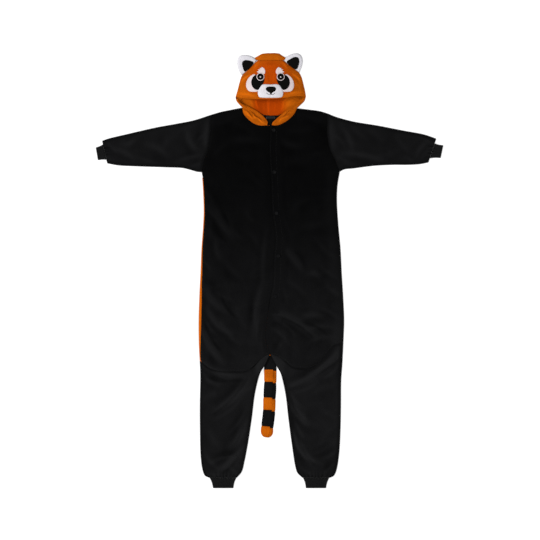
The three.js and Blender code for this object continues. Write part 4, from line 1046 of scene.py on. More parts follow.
def front_panel(is_left, settings):
    """Half of the front: its plan at the height of the cloth below plus its folds; it dips to its
    seams and rolls off at its free edges."""
    inward = -1 if is_left else 1
    plan = front_plan(is_left)
    u, v = np.meshgrid(steps(80, 270), steps(200, 1000))
    wrap, inset = roll_wrap(plan, v, is_left)
    shifted = np.where(u < BESIDE_EDGE, lerp(inset, BESIDE_EDGE, u / BESIDE_EDGE), u)
    points = plan(shifted, v)
    x, y = points[..., 0], points[..., 1]
    on_side = v > ARM_SHARE
    width = np.abs(plan(1 + 0 * v, v) - plan(0 * v, v))[..., 0]
    from_border = np.maximum(0, shifted - inset) * width
    from_side = np.where(on_side, from_border, FAR)
    from_edge = np.minimum(from_side, np.where(u < NECK_AT, v * 1000, FAR))
    to_centre = (x - x_at(CENTRE, y)) * -inward
    rise, light = front_folds(x, y, to_centre, from_edge, is_left, settings)
    low = CLOTH + SEAM + tail_arch(x, y, ARCH_AT_FRONT) + rise
    low = low + (lap_lift(x, y) if is_left else 0)
    on_roll = wrap * (1 - smooth((from_side - 4) / 22))
    top = low + (2 * FOLD_RADIUS + 0.5 - CLOTH - SEAM) * on_roll + CLOTH
    to_armhole = np.where(on_side, FAR, from_border)
    for distance, run in ((to_armhole, y), ((1 - v) * 1000, x)):
        top = lerp(beside_seam(x, y, distance, run), top, smooth(distance / SEAM_RISE))
    top = top + (placket(y, to_centre) if is_left else 0)
    top = np.maximum(top, CLOTH + SEAM + CLOTH + 0.05)
    x = x + inward * SEAM * (to_armhole < 0.01)
    x = x - inward * SEAM * 0.5 * ((u == 1) & (y < LAP_END))
    y = y + SEAM * (v == 1) - 0.8 * ((v == 0) & (u >= NECK_AT))
    thick = CLOTH * np.minimum(1, (top - CLOTH - SEAM) / CLOTH)
    outer = joined(x, y, top)
    inner = joined(x, y, top - thick)
    name = "front_left_fleece" if is_left else "front_right_fleece"
    return shell(name, outer, inner, ridge=light)


ROLL_FLOOR = 6.2  # width of the roll's strip on the surface


def back_borders():
    """Top and bottom borders of the back: shoulder, nape, shoulder and both thigh seams."""
    shoulders = smooth_line(SHOULDER_RIGHT), smooth_line(SHOULDER_LEFT)
    nape = smooth_line(NAPE)
    thighs = smooth_line(THIGH_RIGHT), smooth_line(THIGH_LEFT)

    def top(u):
        u = np.asarray(u, float)
        half = np.where(u < 0.5, 2 * u, 2 - 2 * u)
        shoulder = clamp(half / NECK_AT)
        share = 0.5 * clamp((half - NECK_AT) / (1 - NECK_AT))
        on_right = (u < 0.5)[..., None]
        outer = np.where(on_right, shoulders[0](shoulder), shoulders[1](shoulder))
        inner = nape(np.where(u < 0.5, share, 1 - share))
        return np.where((half < NECK_AT)[..., None], outer, inner)

    def bottom(u):
        u = np.asarray(u, float)
        on_right = (u < 0.5)[..., None]
        return np.where(on_right, thighs[0](clamp(2 * u)), thighs[1](clamp(2 - 2 * u)))

    return top, bottom


def back_panel():
    """The back lies on the surface; it arches over the tail's root, and starts at its right side
    where the strip of the roll ends."""
    plan = coons(
        *back_borders(),
        chain(smooth_line(ARMHOLE_RIGHT), smooth_line(SIDE_RIGHT), ARM_SHARE),
        chain(smooth_line(ARMHOLE_LEFT), smooth_line(SIDE_LEFT), ARM_SHARE),
    )
    u, v = np.meshgrid(steps(90, 550), steps(110, 1000))
    width = np.abs(plan(1 + 0 * v, v) - plan(0 * v, v))[..., 0]
    on_right = smooth((v - ARM_SHARE) * 30) * ROLL_FLOOR / width
    inset = np.where(v <= ARM_SHARE, 0, on_right)
    points = plan(np.where(u < BESIDE_EDGE, lerp(inset, BESIDE_EDGE, u / BESIDE_EDGE), u), v)
    x, y = points[..., 0], points[..., 1]
    half = np.where(u < 0.5, 2 * u, 2 - 2 * u)
    y = y - 3.5 * ((v == 0) & (half >= NECK_AT)) + SEAM * (v == 1)
    low = tail_arch(x, y)
    outer = joined(x, y, low + CLOTH)
    inner = joined(x, y, low)
    return shell("back_fleece", outer, inner)


def side_roll():
    """The rolled side of the back: each section runs along the floor, half round the fold and
    onto the top, and the sections follow the right side line."""
    side = smooth_line(SIDE_RIGHT)
    t = steps(150, 760)
    points = side(lerp(0.03, 1, t))
    x, y = points[:, 0, None], points[:, 1, None]
    reach = np.maximum(FOLD_RADIUS, roll_shown(y)) + 2.5
    radius = FOLD_RADIUS + 0.12 * unevenness(y, 0 * y, 70, 7)
    turn = np.radians(np.linspace(-90, 90, 15))[None, :]
    drop = clamp((-340 - y) / 27)

    def section(inset):
        r = radius - inset
        floor_x = lerp(ROLL_FLOOR - 0.4, radius, np.linspace(0, 1, 4)[None, :-1])
        bend_x = radius - r * np.cos(turn)
        bend_z = radius + r * np.sin(turn)
        ahead = np.linspace(0, 1, 8)[None, 1:]
        top_x = lerp(radius, reach, ahead)
        top_z = (2 * radius - inset) + 0 * top_x
        across = np.concatenate([floor_x, bend_x, top_x], axis=1)
        height = np.concatenate([inset + 0 * floor_x, bend_z, top_z], axis=1)
        slope = np.where(height > radius, 0.93, 0.62)
        return joined(x + across, y - drop * across * slope + 0.4, height)

    outer, inner = section(0.0), section(CLOTH)
    # Painted shade on the roll's low parts and painted light on its top.
    ridge = outer[..., 2] - 4
    return shell("side_roll_fleece", outer, inner, ridge=ridge)


# ---- tubes laid flat
ANKLE_Y = -846
ANKLE_INNER, ANKLE_OUTER = 134.0, 247.0  # x of a leg's end at its cuff
LEG_LENGTH = 480
SLEEVE_LENGTH = 400
CUFF_LENGTH = 40


def laid_tube(name, plan, s, top_t, floor_t, rise, bends=11):
    """A tube laid flat: a top layer raised by `rise`, a half round fold at each side and a floor
    layer. s runs along the tube, t across it."""
    ends = plan(np.stack([s, s]), np.stack([0 * s, 1 + 0 * s]))
    width = np.linalg.norm(ends[1] - ends[0], axis=-1)[:, None]
    edge = FOLD_RADIUS / width
    turn = np.radians(np.linspace(90, -90, bends + 2)[1:-1])[None, :]
    along_s = s[:, None]
    top = lerp(edge, 1 - edge, np.concatenate([[0], top_t, [1]])[None, :])
    floor = lerp(edge, 1 - edge, np.concatenate([[1], floor_t[::-1], [0]])[None, :])

    def face(radius, thick):
        points = plan(along_s + 0 * top, top)
        from_edge = np.minimum(top, 1 - top) * width
        lift = rise(points[..., 0], points[..., 1], along_s + 0 * top, top)
        lift = np.maximum(-1.3, lift) * smooth((from_edge - FOLD_RADIUS) / 14)
        far = 1 - (FOLD_RADIUS - radius * np.cos(turn)) / width
        near = (FOLD_RADIUS - radius * np.cos(turn[:, ::-1])) / width
        down = FOLD_RADIUS + radius * np.sin(turn) + 0 * far
        t = np.concatenate([top, far, floor, near], axis=1)
        layers = [2 * FOLD_RADIUS + lift - thick, down, thick + 0 * floor, down[:, ::-1]]
        points = plan(along_s + 0 * t, t)
        x, y = points[..., 0], points[..., 1]
        height = np.concatenate(layers, axis=1) + tail_arch(x, y)
        return joined(x, y, height)

    outer, inner = face(FOLD_RADIUS, 0.0), face(FOLD_RADIUS - CLOTH, CLOTH)
    # Ridge values: painted light on the raised parts of the top layer, painted shade in its low
    # parts and rib grooves.
    ridge = np.zeros(outer.shape[:2])
    count = top.shape[1]
    ridge[:, :count] = outer[:, :count, 2] - 2 * FOLD_RADIUS - 1.5
    return shell(name, outer, inner, True, ridge)


def seamed(x, y, lift, distance, run):
    """A tube's lift, led down to the level of the seam that it starts from."""
    below = tail_arch(x, y, ARCH_AT_FRONT) + 2 * FOLD_RADIUS
    level = beside_seam(x, y, distance, run) - below
    return lerp(level, lift, smooth(distance / SEAM_RISE))


def gathers(s, t, count, start=0.9):
    """Small pleats where a wide tube is drawn into its rib cuff, uneven in depth."""
    depth = smooth((s - start) / (1 - start)) * (0.8 + 0.5 * unevenness(t * 90, 0 * t, 8, 3))
    fold = 2 * math.pi * (count * t + 0.35 * unevenness(t * 60, s * 40, 9, 4))
    return 1.7 * depth * np.sin(fold)


def between(count):
    """Even shares of a width without its two ends."""
    return np.linspace(0, 1, count)[1:-1]


def leg(is_left, settings):
    """A leg: wide at the thigh, where it starts a little way in under the fronts, and drawn in at
    its ankle cuff."""
    away = 1 if is_left else -1
    thigh = side_line(is_left, THIGH_RIGHT, THIGH_LEFT)

    def tucked(t):
        t = np.asarray(t, float)
        return thigh(t) + TUCK * joined(0 * t, np.sin(np.pi * t))

    def ankle(t):
        t = np.asarray(t, float)
        return joined(lerp(ANKLE_OUTER, ANKLE_INNER, t) * away, ANKLE_Y + 0 * t)

    outseam = side_line(is_left, OUTSEAM_RIGHT, OUTSEAM_LEFT)
    inseam = side_line(is_left, INSEAM_RIGHT, INSEAM_LEFT)
    plan = coons(tucked, ankle, outseam, inseam)

    def rise(x, y, s, t):
        lift = settings.loft + rumpled(x, y, 51 if is_left else 71, settings)
        return seamed(x, y, lift, s * LEG_LENGTH, x) + gathers(s, t, 9)

    name = "leg_left_fleece" if is_left else "leg_right_fleece"
    return laid_tube(name, lambda s, t: plan(t, s), steps(156, LEG_LENGTH), between(80),
                     between(24), rise)


def sleeve(is_left, settings):
    """A sleeve: its fold lies along the top of the arm, its seam under it."""
    armhole = side_line(is_left, ARMHOLE_RIGHT, ARMHOLE_LEFT)
    fold = side_line(is_left, SLEEVE_FOLD_RIGHT, SLEEVE_FOLD_LEFT)
    seam = side_line(is_left, SLEEVE_SEAM_RIGHT, SLEEVE_SEAM_LEFT)

    def wrist(t):
        return lerp(fold(1.0), seam(1.0), np.asarray(t, float)[..., None])

    plan = coons(armhole, wrist, fold, seam)

    def rise(x, y, s, t):
        lift = settings.loft + rumpled(x, y, 91 if is_left else 111, settings)
        return seamed(x, y, lift, s * SLEEVE_LENGTH, y) + gathers(s, t, 6, 0.92)

    name = "sleeve_left_fleece" if is_left else "sleeve_right_fleece"
    return laid_tube(name, lambda s, t: plan(t, s), steps(150, SLEEVE_LENGTH), between(76),
                     between(22), rise)


# Rib cuffs: name, ribs across, the corners of the sewn end and of the free end.
CUFFS = [
    ("cuff_wrist_right", 15, ((-682, 517), (-667.7, 455)), ((-711, 505), (-702, 453))),
    ("cuff_wrist_left", 15, ((676, 521), (656, 461)), ((711, 514), (700, 462))),
    ("cuff_ankle_right", 22, ((-245, -846.4), (-136, -846.4)), ((-231, -888.5), (-148, -888.5))),
    ("cuff_ankle_left", 22, ((137, -846.4), (244, -846.4)), ((149, -888.5), (231, -888.5))),
]


def rib_cuff(name, ribs, sewn, free, settings):
    """A rib cuff: a flat tube between its sewn and its free corners; its outer face is waved by
    the ribs, and its doubled free end is a soft roll."""
    sewn, free = np.array(sewn, float), np.array(free, float)

    def plan(s, t):
        s, t = s[..., None], t[..., None]
        waist = 1 - 0.05 * np.sin(np.pi * s)
        start = lerp(sewn[0], sewn[1], t)
        end = lerp(free[0], free[1], t)
        middle = lerp(lerp(sewn[0], sewn[1], 0.5), lerp(free[0], free[1], 0.5), s)
        return middle + (lerp(start, end, s) - middle) * waist

    count = ribs * 8
    top_t = np.arange(1, count) / count

    def rise(x, y, s, t):
        ridge = settings.rib_depth * np.cos(2 * math.pi * ribs * t)
        hem = 0.8 * bell((1 - s) * CUFF_LENGTH, 9)
        seam = 0.5 * bell(s * CUFF_LENGTH, 5)
        return ridge - 0.4 + hem - seam

    return laid_tube(name + "_rib", plan, steps(26, 48), top_t, between(24), rise)


# ---- hood
BRIM_Y = 702
FACE_WIDTH = 250
FACE_LENGTH = 150
CROWN_ENDS = (-52.0, 57.0)
CROWN_FOLD = np.array([(-52, 871), (-48, 876), (-40, 885), (-31, 890), (-10, 892.5), (20, 893),
    (40, 891), (46, 886), (52, 879), (57, 873)], float)
SIDE_TO_JAW = 0.76  # share of a hood back's outer border above the brim
NAPE_AT_SEAM = 0.47  # share of the nape's line at the hood's centre seam


def face_top(x, y):
    """Outer height of the domed face panel: low at both sides, high in the middle, highest at
    the brim."""
    x, y = np.asarray(x, float), np.asarray(y, float)
    level = np.minimum(y, HOOD_TOP - 0.5)
    left, right = x_at(HOOD_SIDE_RIGHT, level), x_at(HOOD_SIDE_LEFT, level)
    s = clamp(np.abs((x - (left + right) / 2) / ((right - left) / 2)))
    down = clamp((HOOD_TOP - y) / (HOOD_TOP - BRIM_Y))
    rise = lerp(CROWN_RISE, HOOD_RISE, np.sin(down * np.pi / 2) ** 1.2)
    return HOOD_EDGE + CLOTH + rise * (1 - s**2.3) ** 0.75


def face_panel(settings):
    """The face panel of the hood: a dome with ridges below the ears and a doubled hem at its
    brim."""

    def crown_seam(u):
        u = np.asarray(u, float)
        return joined(lerp(-48.0, 58.0, u), HOOD_TOP + 0 * u)

    plan = coons(crown_seam, smooth_line(BRIM), smooth_line(HOOD_SIDE_RIGHT),
                 smooth_line(HOOD_SIDE_LEFT))
    u, v = np.meshgrid(steps(150, FACE_WIDTH), steps(96, 165))
    points = plan(u, v)
    x, y = points[..., 0], points[..., 1]
    to_side = np.minimum(u, 1 - u) * FACE_WIDTH
    to_brim = (1 - v) * FACE_LENGTH
    calm = smooth((to_side - 2) / 12)
    detail = crease_height(x, y, FACE_CREASES, 0.4)
    detail = detail + 0.5 * settings.rumple * rumple(x * 1.4, y * 1.4, 131)
    hem = 0.9 * smooth(1 - (to_brim - 9) / 3) - 0.9 * bell(to_brim - 11, 1.6)
    seam = -1.2 * bell(v * FACE_LENGTH, 4)
    dome = face_top(x, y)
    top = np.maximum(dome + calm * detail + hem + seam, dome - 1.5)
    low = np.minimum(dome - CLOTH - 0.2, top - 1.2)
    outer = joined(x, y, top)
    inner = joined(x, y, low)
    # The creases also paint light on their crests and shade in their hollows.
    return shell("face_panel_fleece", outer, inner, ridge=detail * 1.2 - 0.2)


def crown_section(x, inset):
    """Sections of the crown's wall, `inset` in from its outside: along the floor, half round
    the fold and back over the hood. Its ends flare towards the fold."""
    start = HOOD_TOP + 0.5
    fold = y_at(CROWN_FOLD, x) - 1.5 - 0.5 * bell(x - 2, 4)
    high = face_top(clamp((x + 47) / 104) * 104 - 47, HOOD_TOP - 1)
    bulge = np.minimum(fold - start - 2, 15)
    turn = np.radians(np.linspace(-90, 90, 25))[None, :]
    floor_y = lerp(start, fold - bulge, np.linspace(0, 1, 9)[None, :-1])
    bend_y = fold - bulge + (bulge - inset) * np.cos(turn)
    bend_z = high / 2 + (high / 2 - inset) * np.sin(turn)
    y = np.concatenate([floor_y, bend_y, floor_y[:, ::-1]], axis=1)
    flat = 0 * floor_y
    z = np.concatenate([inset + flat, bend_z, high - inset + flat], axis=1)
    flare = 1 + 0.17 * bell(y - 872, 8)
    return joined(3 + (x + 0 * y - 3) * flare, y, z), z > high / 2


def crown():
    """The crown folds over from the back of the hood to the face, with a seam along its foot."""
    x = lerp(*CROWN_ENDS, steps(70, 109))[:, None]
    outer, on_top = crown_section(x, 0.0)
    inner, _ = crown_section(x, CLOTH)
    from_seam = outer[..., 1] - HOOD_TOP - 0.5
    swell = 0.7 * unevenness(outer[..., 0], outer[..., 2] + outer[..., 1], 17, 141)
    pull = (swell * smooth(from_seam / 8) - 1.1 * bell(from_seam, 4)) * on_top
    ends = smooth(np.minimum(x - CROWN_ENDS[0], CROWN_ENDS[1] - x) / 4)
    outer[..., 2] += pull * ends
    inner[..., 2] += pull * ends
    # The swells also paint light on their tops and shade between them.
    return shell("crown_fleece", outer, inner, ridge=swell)


def hood_back_plan(is_left, seam):
    """A hood back inside its borders: crown seam, nape, side with jaw, and centre seam."""
    side = chain(
        side_line(is_left, HOOD_SIDE_RIGHT, HOOD_SIDE_LEFT),
        side_line(is_left, JAW_RIGHT, JAW_LEFT), SIDE_TO_JAW,
    )
    nape = smooth_line(NAPE)
    start = 1.0 if is_left else 0.0
    seam_end = nape(NAPE_AT_SEAM)[1]

    def top(u):
        u = np.asarray(u, float)
        return joined(lerp(side(0.0)[0], seam, u), HOOD_TOP + 0 * u)

    def bottom(u):
        u = np.asarray(u, float)
        points = nape(lerp(start, NAPE_AT_SEAM, u))
        return joined(np.where(u == 1, seam, points[..., 0]), points[..., 1])

    def centre(v):
        v = np.asarray(v, float)
        return joined(seam + 0 * v, lerp(HOOD_TOP, seam_end, v))

    return coons(top, bottom, side, centre)


def hood_back(is_left):
    """Half of the hood's back: it lies on the surface, curls up at its side, and its seam
    allowance stands up as a ridge along the centre."""
    seam = BACK_SEAM_X + SEAM * (0.5 if is_left else -0.5)
    plan = hood_back_plan(is_left, seam)
    u, v = np.meshgrid(steps(52, 120), steps(84, 210))
    points = plan(u, v)
    x, y = points[..., 0], points[..., 1]
    from_side = u * np.abs(plan(1 + 0 * v, v) - plan(0 * v, v))[..., 0]
    curl = 6 * (1 - clamp(from_side / 10)) ** 2
    ridge = 2.4 * bell(x - seam, 4.5) * (1 - v**8)
    swell = 0.5 * (1 + unevenness(x, y, 26, 151)) * smooth(from_side / 14) * smooth((1 - v) * 20)
    swell = swell + np.maximum(0, crease_height(x, y, LINING_CREASES, 0)) * smooth((1 - v) * 12)
    outer = joined(x, y, curl + CLOTH + ridge + 0.6 * swell)
    inner = joined(x, y, curl)
    name = "hood_back_left_fleece" if is_left else "hood_back_right_fleece"
    # Painted light over the left half and painted shade on the right half beside the seam; the
    # raised seam and the swells are painted lighter too.
    nap = lerp(0.2, 1.2, smooth((x - 40) / 25)) if is_left else -0.6 - 1.3 * bell(x + 38, 24)
    return shell(name, outer, inner, ridge=ridge * 2.4 + swell + nap)


def hood_band(is_left):
    """A front edge of the hood: a soft doubled roll from under the brim's corner down to the
    centre of the neck, puckered where its seams draw it in."""
    jaw = side_line(is_left, JAW_RIGHT[1:], JAW_LEFT[1:])
    outer_line = chain(jaw, side_line(is_left, NECK_RIGHT, NECK_LEFT), 0.2)
    inner_line = side_line(is_left, BAND_INNER_RIGHT, BAND_INNER_LEFT)
    w, t = np.meshgrid(steps(48, 34), lerp(0, 0.948, steps(120, 190)))
    plan = lerp(outer_line(t), inner_line(t), w[..., None])
    x, y = plan[..., 0], plan[..., 1]
    edge = lerp(9.2, 5.2, smooth((t - 0.12) / 0.16))
    roll = 7 * np.sin(np.pi * np.minimum(1, w * 0.9 + 0.05)) ** 0.8
    narrow = 1 - 0.6 * smooth((t - 0.82) / 0.14)
    across = np.sin(np.pi * clamp(w))
    crease = crease_height(x, y, BAND_CREASES, 0.2) * across**0.5
    crease = crease + 0.45 * unevenness(x, y, 15, 161) * across
    level = edge + 0.4 * w + (roll + 2.2 * crease) * narrow
    hem = -0.9 * bell((1 - w) * 30 - 7, 1.6) * narrow
    outer = joined(x, y, level + CLOTH + hem)
    inner = joined(x, y, level)
    name = "hood_band_left_fleece" if is_left else "hood_band_right_fleece"
    # Painted tone: light towards the band's rolled inner edge, shade over the whole band, more on
    # the left one, and light and shade along its creases.
    nap = 1.2 * w - (1.6 if is_left else 1.1)
    return shell(name, outer, inner, ridge=crease * 4.4 + nap)


# ---- face
PAD_PROFILE = ((0.0, 1.0), (0.25, 1.0), (0.5, 0.98), (0.68, 0.93), (0.8, 0.84), (0.88, 0.72),
               (0.94, 0.54), (0.98, 0.3), (1.0, 0.08), (0.99, 0.0), (0.85, 0.0), (0.5, 0.0),
               (0.0, 0.0))
FELT_PROFILE = ((0.0, 1.0), (0.3, 1.0), (0.6, 1.0), (0.82, 1.0), (0.93, 0.97), (0.97, 0.8),
                (0.99, 0.55), (1.0, 0.25), (0.995, 0.0), (0.85, 0.0), (0.5, 0.0), (0.0, 0.0))


LEFT_CHEEK = 0.96  # the left cheek reaches less far round the hood than the right one
EYE_AWAY = 41.5  # from the middle of the face
EYE_Y = 793.5
RING_RADIUS = 16.0
IRIS_RADIUS = 13.4
GLINT_RADIUS = 2.7
OVER_PATCH = 2 * FELT + SEAM  # height of an eye patch's top
MUZZLE_TOP = SEAM + MUZZLE_PAD + 3.0
NOSE_MIDDLE = (5, 742)
BROW_TUFTS = [(-30, 833), (-35, 830), (-41, 829), (-38.5, 825), (-48, 823), (-43.5, 818.5),
              (-52, 814), (-45, 809.5), (-39, 807), (-30, 805), (-22, 804.5), (-18.5, 809),
              (-18, 817), (-21.5, 827)]


def on_face(name, outline, low, high, profile=FELT_PROFILE, middle=None, detail=None):
    """A closed patch over the face: its outline shrinks along the profile's first value to its
    middle, and its height above the face follows the second, from `low` to `high`."""
    outline = np.asarray(outline, float)
    middle = outline.mean(axis=0) if middle is None else np.asarray(middle, float)
    share = np.array([row[0] for row in profile])[1:-1]
    height = np.array([row[1] for row in profile])[1:-1]
    share, height = np.concatenate([[0.02], share, [0.02]]), np.concatenate([[1], height, [0]])
    plan = middle + (outline[None] - middle) * share[:, None, None]
    x, y = plan[..., 0], plan[..., 1]
    lift = low + (high - low) * height[:, None]
    if detail is not None:
        lift = lift + detail(x, y) * (height[:, None] > 0.5)
    return rounds(name, joined(x, y, face_top(x, y) + lift))


def circle(x, y, radius, count):
    """Evenly spaced points of a circle, turning anticlockwise."""
    turn = 2 * np.pi * np.arange(count) / count
    return joined(x + radius * np.cos(turn), y + radius * np.sin(turn))


def mirrored(rows, squeeze=1.0):
    """A table of the face's right side turned over onto its left side."""
    return [(FACE_X + (FACE_X - x) * squeeze, y) for x, y in rows]


def muzzle_relief(x, y):
    """Two full cheeks of the padded muzzle with a shallow furrow under the nose."""
    furrow = -0.9 * bell(x - FACE_X - 1, 2.2) * smooth((728 - y) / 8)
    cheeks = 1.3 * (bell(np.hypot(x - 27, (y - 722) * 1.2), 17) +
                    bell(np.hypot(x + 19, (y - 722) * 1.2), 17))
    return furrow + cheeks


def face_layers(is_left):
    """The patches of one side of the face, lowest first: name, outline, heights of underside
    and top over the face, material and slot."""
    x = FACE_X + (EYE_AWAY if is_left else -EYE_AWAY)
    cheek, patch, brow = CHEEK, PATCH, BROW_TUFTS
    if is_left:
        cheek, patch, brow = mirrored(CHEEK, LEFT_CHEEK), mirrored(PATCH), mirrored(BROW_TUFTS)
    white = ("white_cloth", "white_fleece")
    black = ("black_cloth", "black_felt")
    return [
        ("cheek", closed_outline(cheek, 120), SEAM, SEAM + FELT, *white),
        ("eye_patch", closed_outline(patch, 110), SEAM + FELT + 0.1, OVER_PATCH, *black),
        ("brow", closed_outline(brow, 150), SEAM, SEAM + FELT, *white),
        ("eye_ring", circle(x, EYE_Y, RING_RADIUS, 72), OVER_PATCH + 0.1, OVER_PATCH + 0.8, *white),
        ("iris", circle(x, EYE_Y, IRIS_RADIUS, 64), OVER_PATCH + 0.9, OVER_PATCH + 0.9 + IRIS,
         *black),
        ("glint", circle(x, EYE_Y - 1, GLINT_RADIUS, 32), OVER_PATCH + 1.9, OVER_PATCH + 2.4,
         *white),
    ]


# ---- ears
EAR_PROFILE = np.array([
    (0.02, 1.0), (0.2, 1.0), (0.4, 1.0), (0.58, 1.0), (0.7, 1.01), (0.8, 1.02), (0.88, 1.0),
    (0.94, 0.92), (0.975, 0.75), (0.992, 0.5), (1.0, 0.3), (0.99, 0.12), (0.97, 0.03),
    (0.92, 0.0), (0.6, 0.0), (0.3, 0.0), (0.02, 0.0),
])
EARS = [
    ("right", EAR_RIGHT_FREE, HOOD_SIDE_RIGHT, 0.5, EAR_RIGHT_LINING, (-90, 845)),
    ("left", EAR_LEFT_FREE, HOOD_SIDE_LEFT, 0.45, EAR_LEFT_LINING, (97, 848)),
]


def sewn_edge(side_rows, share, count=6):
    """Points of a hood side where the ear is sewn on, moved off the hood by the seam's gap."""
    points = smooth_line(side_rows)(lerp(share, 0.045, np.linspace(0, 1, count)))
    return points + 1.4 * SEAM * np.array([np.sign(side_rows[0][0]), 1])


def ear_outline(free, side_rows, share, count=132):
    """The free edge as a smooth line, then the sewn edge along the hood."""
    free_count = int(count * 0.72)
    free_path = smooth_line(free)(np.linspace(0, 1, free_count))
    sewn_path = smooth_line(sewn_edge(side_rows, share))(between(count - free_count + 2))
    return anticlockwise(np.vstack([free_path, sewn_path]))


def ear_dome(x, y, centre):
    """Height of an ear: 15 in its middle, falling with the square of the distance to 10."""
    away = ((x - centre[0]) / 52) ** 2 + ((y - centre[1]) / 52) ** 2
    return 10 + 5 * np.maximum(0, 1 - away)


def ear_pad(side, outline, centre):
    """A padded ear: its flat underside rests on the surface and its rim is full and round."""
    middle = np.array(centre, float)
    height = EAR_PROFILE[:, 1, None]
    plan = middle + (outline[None] - middle) * EAR_PROFILE[:, 0, None, None]
    x, y = plan[..., 0], plan[..., 1]
    soft = 0.35 * unevenness(x, y, 13, 171) * (height > 0.6)
    z = ear_dome(x, y, centre) * height + soft
    return rounds(f"ear_{side}_pad", joined(x, y, np.maximum(0, z)))


def ear_lining(side, rows, centre):
    """The black inner cloth of an ear, on the pad's dome."""
    outline = closed_outline(rows, 84)
    middle = outline.mean(axis=0)
    profile = np.array(FELT_PROFILE)
    profile[0, 0] = profile[-1, 0] = 0.02
    plan = middle + (outline[None] - middle) * profile[:, 0, None, None]
    x, y = plan[..., 0], plan[..., 1]
    lift = SEAM + 0.15 + FELT * profile[:, 1, None] + 0.2 * unevenness(x, y, 12, 181)
    z = ear_dome(x, y, centre) + lift
    return rounds(f"ear_{side}_lining", joined(x, y, z))


# ---- neck
def neck_facing():
    """Facing inside the back of the neck: a strip between the nape and the two fronts."""
    neck = NECK_RIGHT[:-1] + NECK_LEFT[::-1]
    s, t = np.meshgrid(steps(90, 134), steps(26, 50))
    x = lerp(-66.0, 68.0, s)
    y = lerp(y_at(NAPE, x) - 1, y_at(neck, x) - 1, t)
    swell = 0.35 * unevenness(x, y, 18, 191)
    outer = joined(x, y, FACING_TOP + swell * 0.6 - 0.2)
    inner = joined(x, y, CLOTH + SEAM + 0 * x)
    return shell("neck_facing_cloth", outer, inner, ridge=swell)


def bare_label():
    """A small bare woven label with slightly raised folded ends."""
    u, v = np.meshgrid(np.linspace(-1, 1, 45), np.linspace(-1, 1, 19))
    x = LABEL_PLACE[0] + LABEL_HALF[0] * u
    y = LABEL_PLACE[1] + LABEL_HALF[1] * v
    ends = 0.25 * smooth((np.abs(u) - 0.86) / 0.06)
    low = FACING_TOP + SEAM
    outer = joined(x, y, low + 0.5 + ends + 0.1 * u * v)
    inner = joined(x, y, low + 0 * x)
    return shell("bare_label", outer, inner, ridge=ends * 4, rounded=False)


# ---- tail
# Name, share of the tail's length where it starts and ends, material.
TAIL_RINGS = [
    ("tail_root_orange", 0, 0.16, "orange_fleece"),
    ("tail_ring_black_1", 0.16, 0.303, "tail_black"),
    ("tail_ring_orange_1", 0.303, 0.427, "orange_fleece"),
    ("tail_ring_black_2", 0.427, 0.589, "tail_black"),
    ("tail_ring_orange_2", 0.589, 0.716, "orange_fleece"),
    ("tail_ring_black_3", 0.716, 0.886, "tail_black"),
    ("tail_tip_orange", 0.886, 1, "orange_fleece"),
]
TAIL_LENGTH = 420
STUFFED_FROM, STUFFED_RAMP = -398, 46  # the flat root swells into the stuffed tail here
RING_STEP = 5.5  # the ring seams don't meet at the lengthwise seam: the last quarter sits lower
RING_GAP = 0.0004  # share of the tail's length between two rings
RING_SHARES = np.array([0, 0.008, 0.03, 0.07, *np.linspace(0.12, 0.88, 22), 0.93, 0.97, 0.992, 1])
TIP_SHARES = np.array([0, 0.01, 0.04, *np.linspace(0.09, 0.82, 18), 0.88, 0.93, 0.965, 0.985,
    0.995])


def tail_section():
    """The tail's section as smooth points: across from -1 to 1, up from 0 to 1."""
    rows = np.array(TAIL_SECTION, float)
    section = spline_points(np.vstack([rows[-1:], rows, rows[:2]]), 7)
    return section[None, :, 0], clamp(section[None, :, 1])


def tail_fullness(w, h, y, at_seams, start, stuffed):
    """How far each point of a ring stands out, 1 where it is plain: less at the ring seams and
    at the lengthwise seam, uneven between, with small gathers along the seams."""
    angle = np.arctan2(h - 0.5, w)
    drawn = 1 - 0.055 * at_seams * stuffed
    long_seam = 0.045 * bell(w - 0.5, 0.06) * (h > 0.5) * stuffed
    swell = 0.02 * unevenness(angle * 3, y / 22 + 0 * angle, 1.0, 201) * stuffed
    gathered = 0.012 * np.sin(angle * 26 + start * 40) * at_seams * stuffed
    return drawn - long_seam + swell + gathered


def tail_ring(name, start, end):
    """A ring of the tail: its flat-bottomed section is carried along the path, drawn in at both
    ring seams and along one lengthwise seam, and the tip closes in a blunt round."""
    is_tip = end == 1
    k = TIP_SHARES if is_tip else RING_SHARES
    gap = RING_GAP * ((k == 0) * 1.0 - ((k == 1) & (not is_tip)))
    middle, ahead, across = plan_frame(smooth_line(TAIL_PATH), lerp(start, end, k) + gap, 0.01)
    k, y = k[:, None], middle[:, 1, None]
    half = TAIL_HALF_WIDTH * (np.sqrt(1 - (0.98 * k) ** 4) if is_tip else 1)
    flat = 1 - 0.55 * k**4 if is_tip else 1
    stuffed = smooth((STUFFED_FROM - y) / STUFFED_RAMP)
    height = flat * lerp(TAIL_ROOT_HEIGHT, TAIL_HEIGHT, stuffed)
    pitch = (end - start) * TAIL_LENGTH
    at_seams = bell(k * pitch, 5) + (0 if is_tip else bell((1 - k) * pitch, 5))
    w, h = tail_section()
    full = tail_fullness(w, h, y, at_seams, start, stuffed)
    held = k if start == 0 else (1 - k if is_tip else 1)
    step = RING_STEP * smooth((w - 0.46) / 0.06) * held
    side = w * half * full
    plan = middle[:, None] + across[:, None] * side[..., None] + ahead[:, None] * step[..., None]
    z = np.maximum(0, h * height * full)
    points = np.concatenate([plan, z[..., None]], axis=-1)
    # Painted shade where the rings are drawn in at their seams and along the lengthwise seam.
    return rounds(name + "_pad", points, (full - 1) * 30 + 0.8)


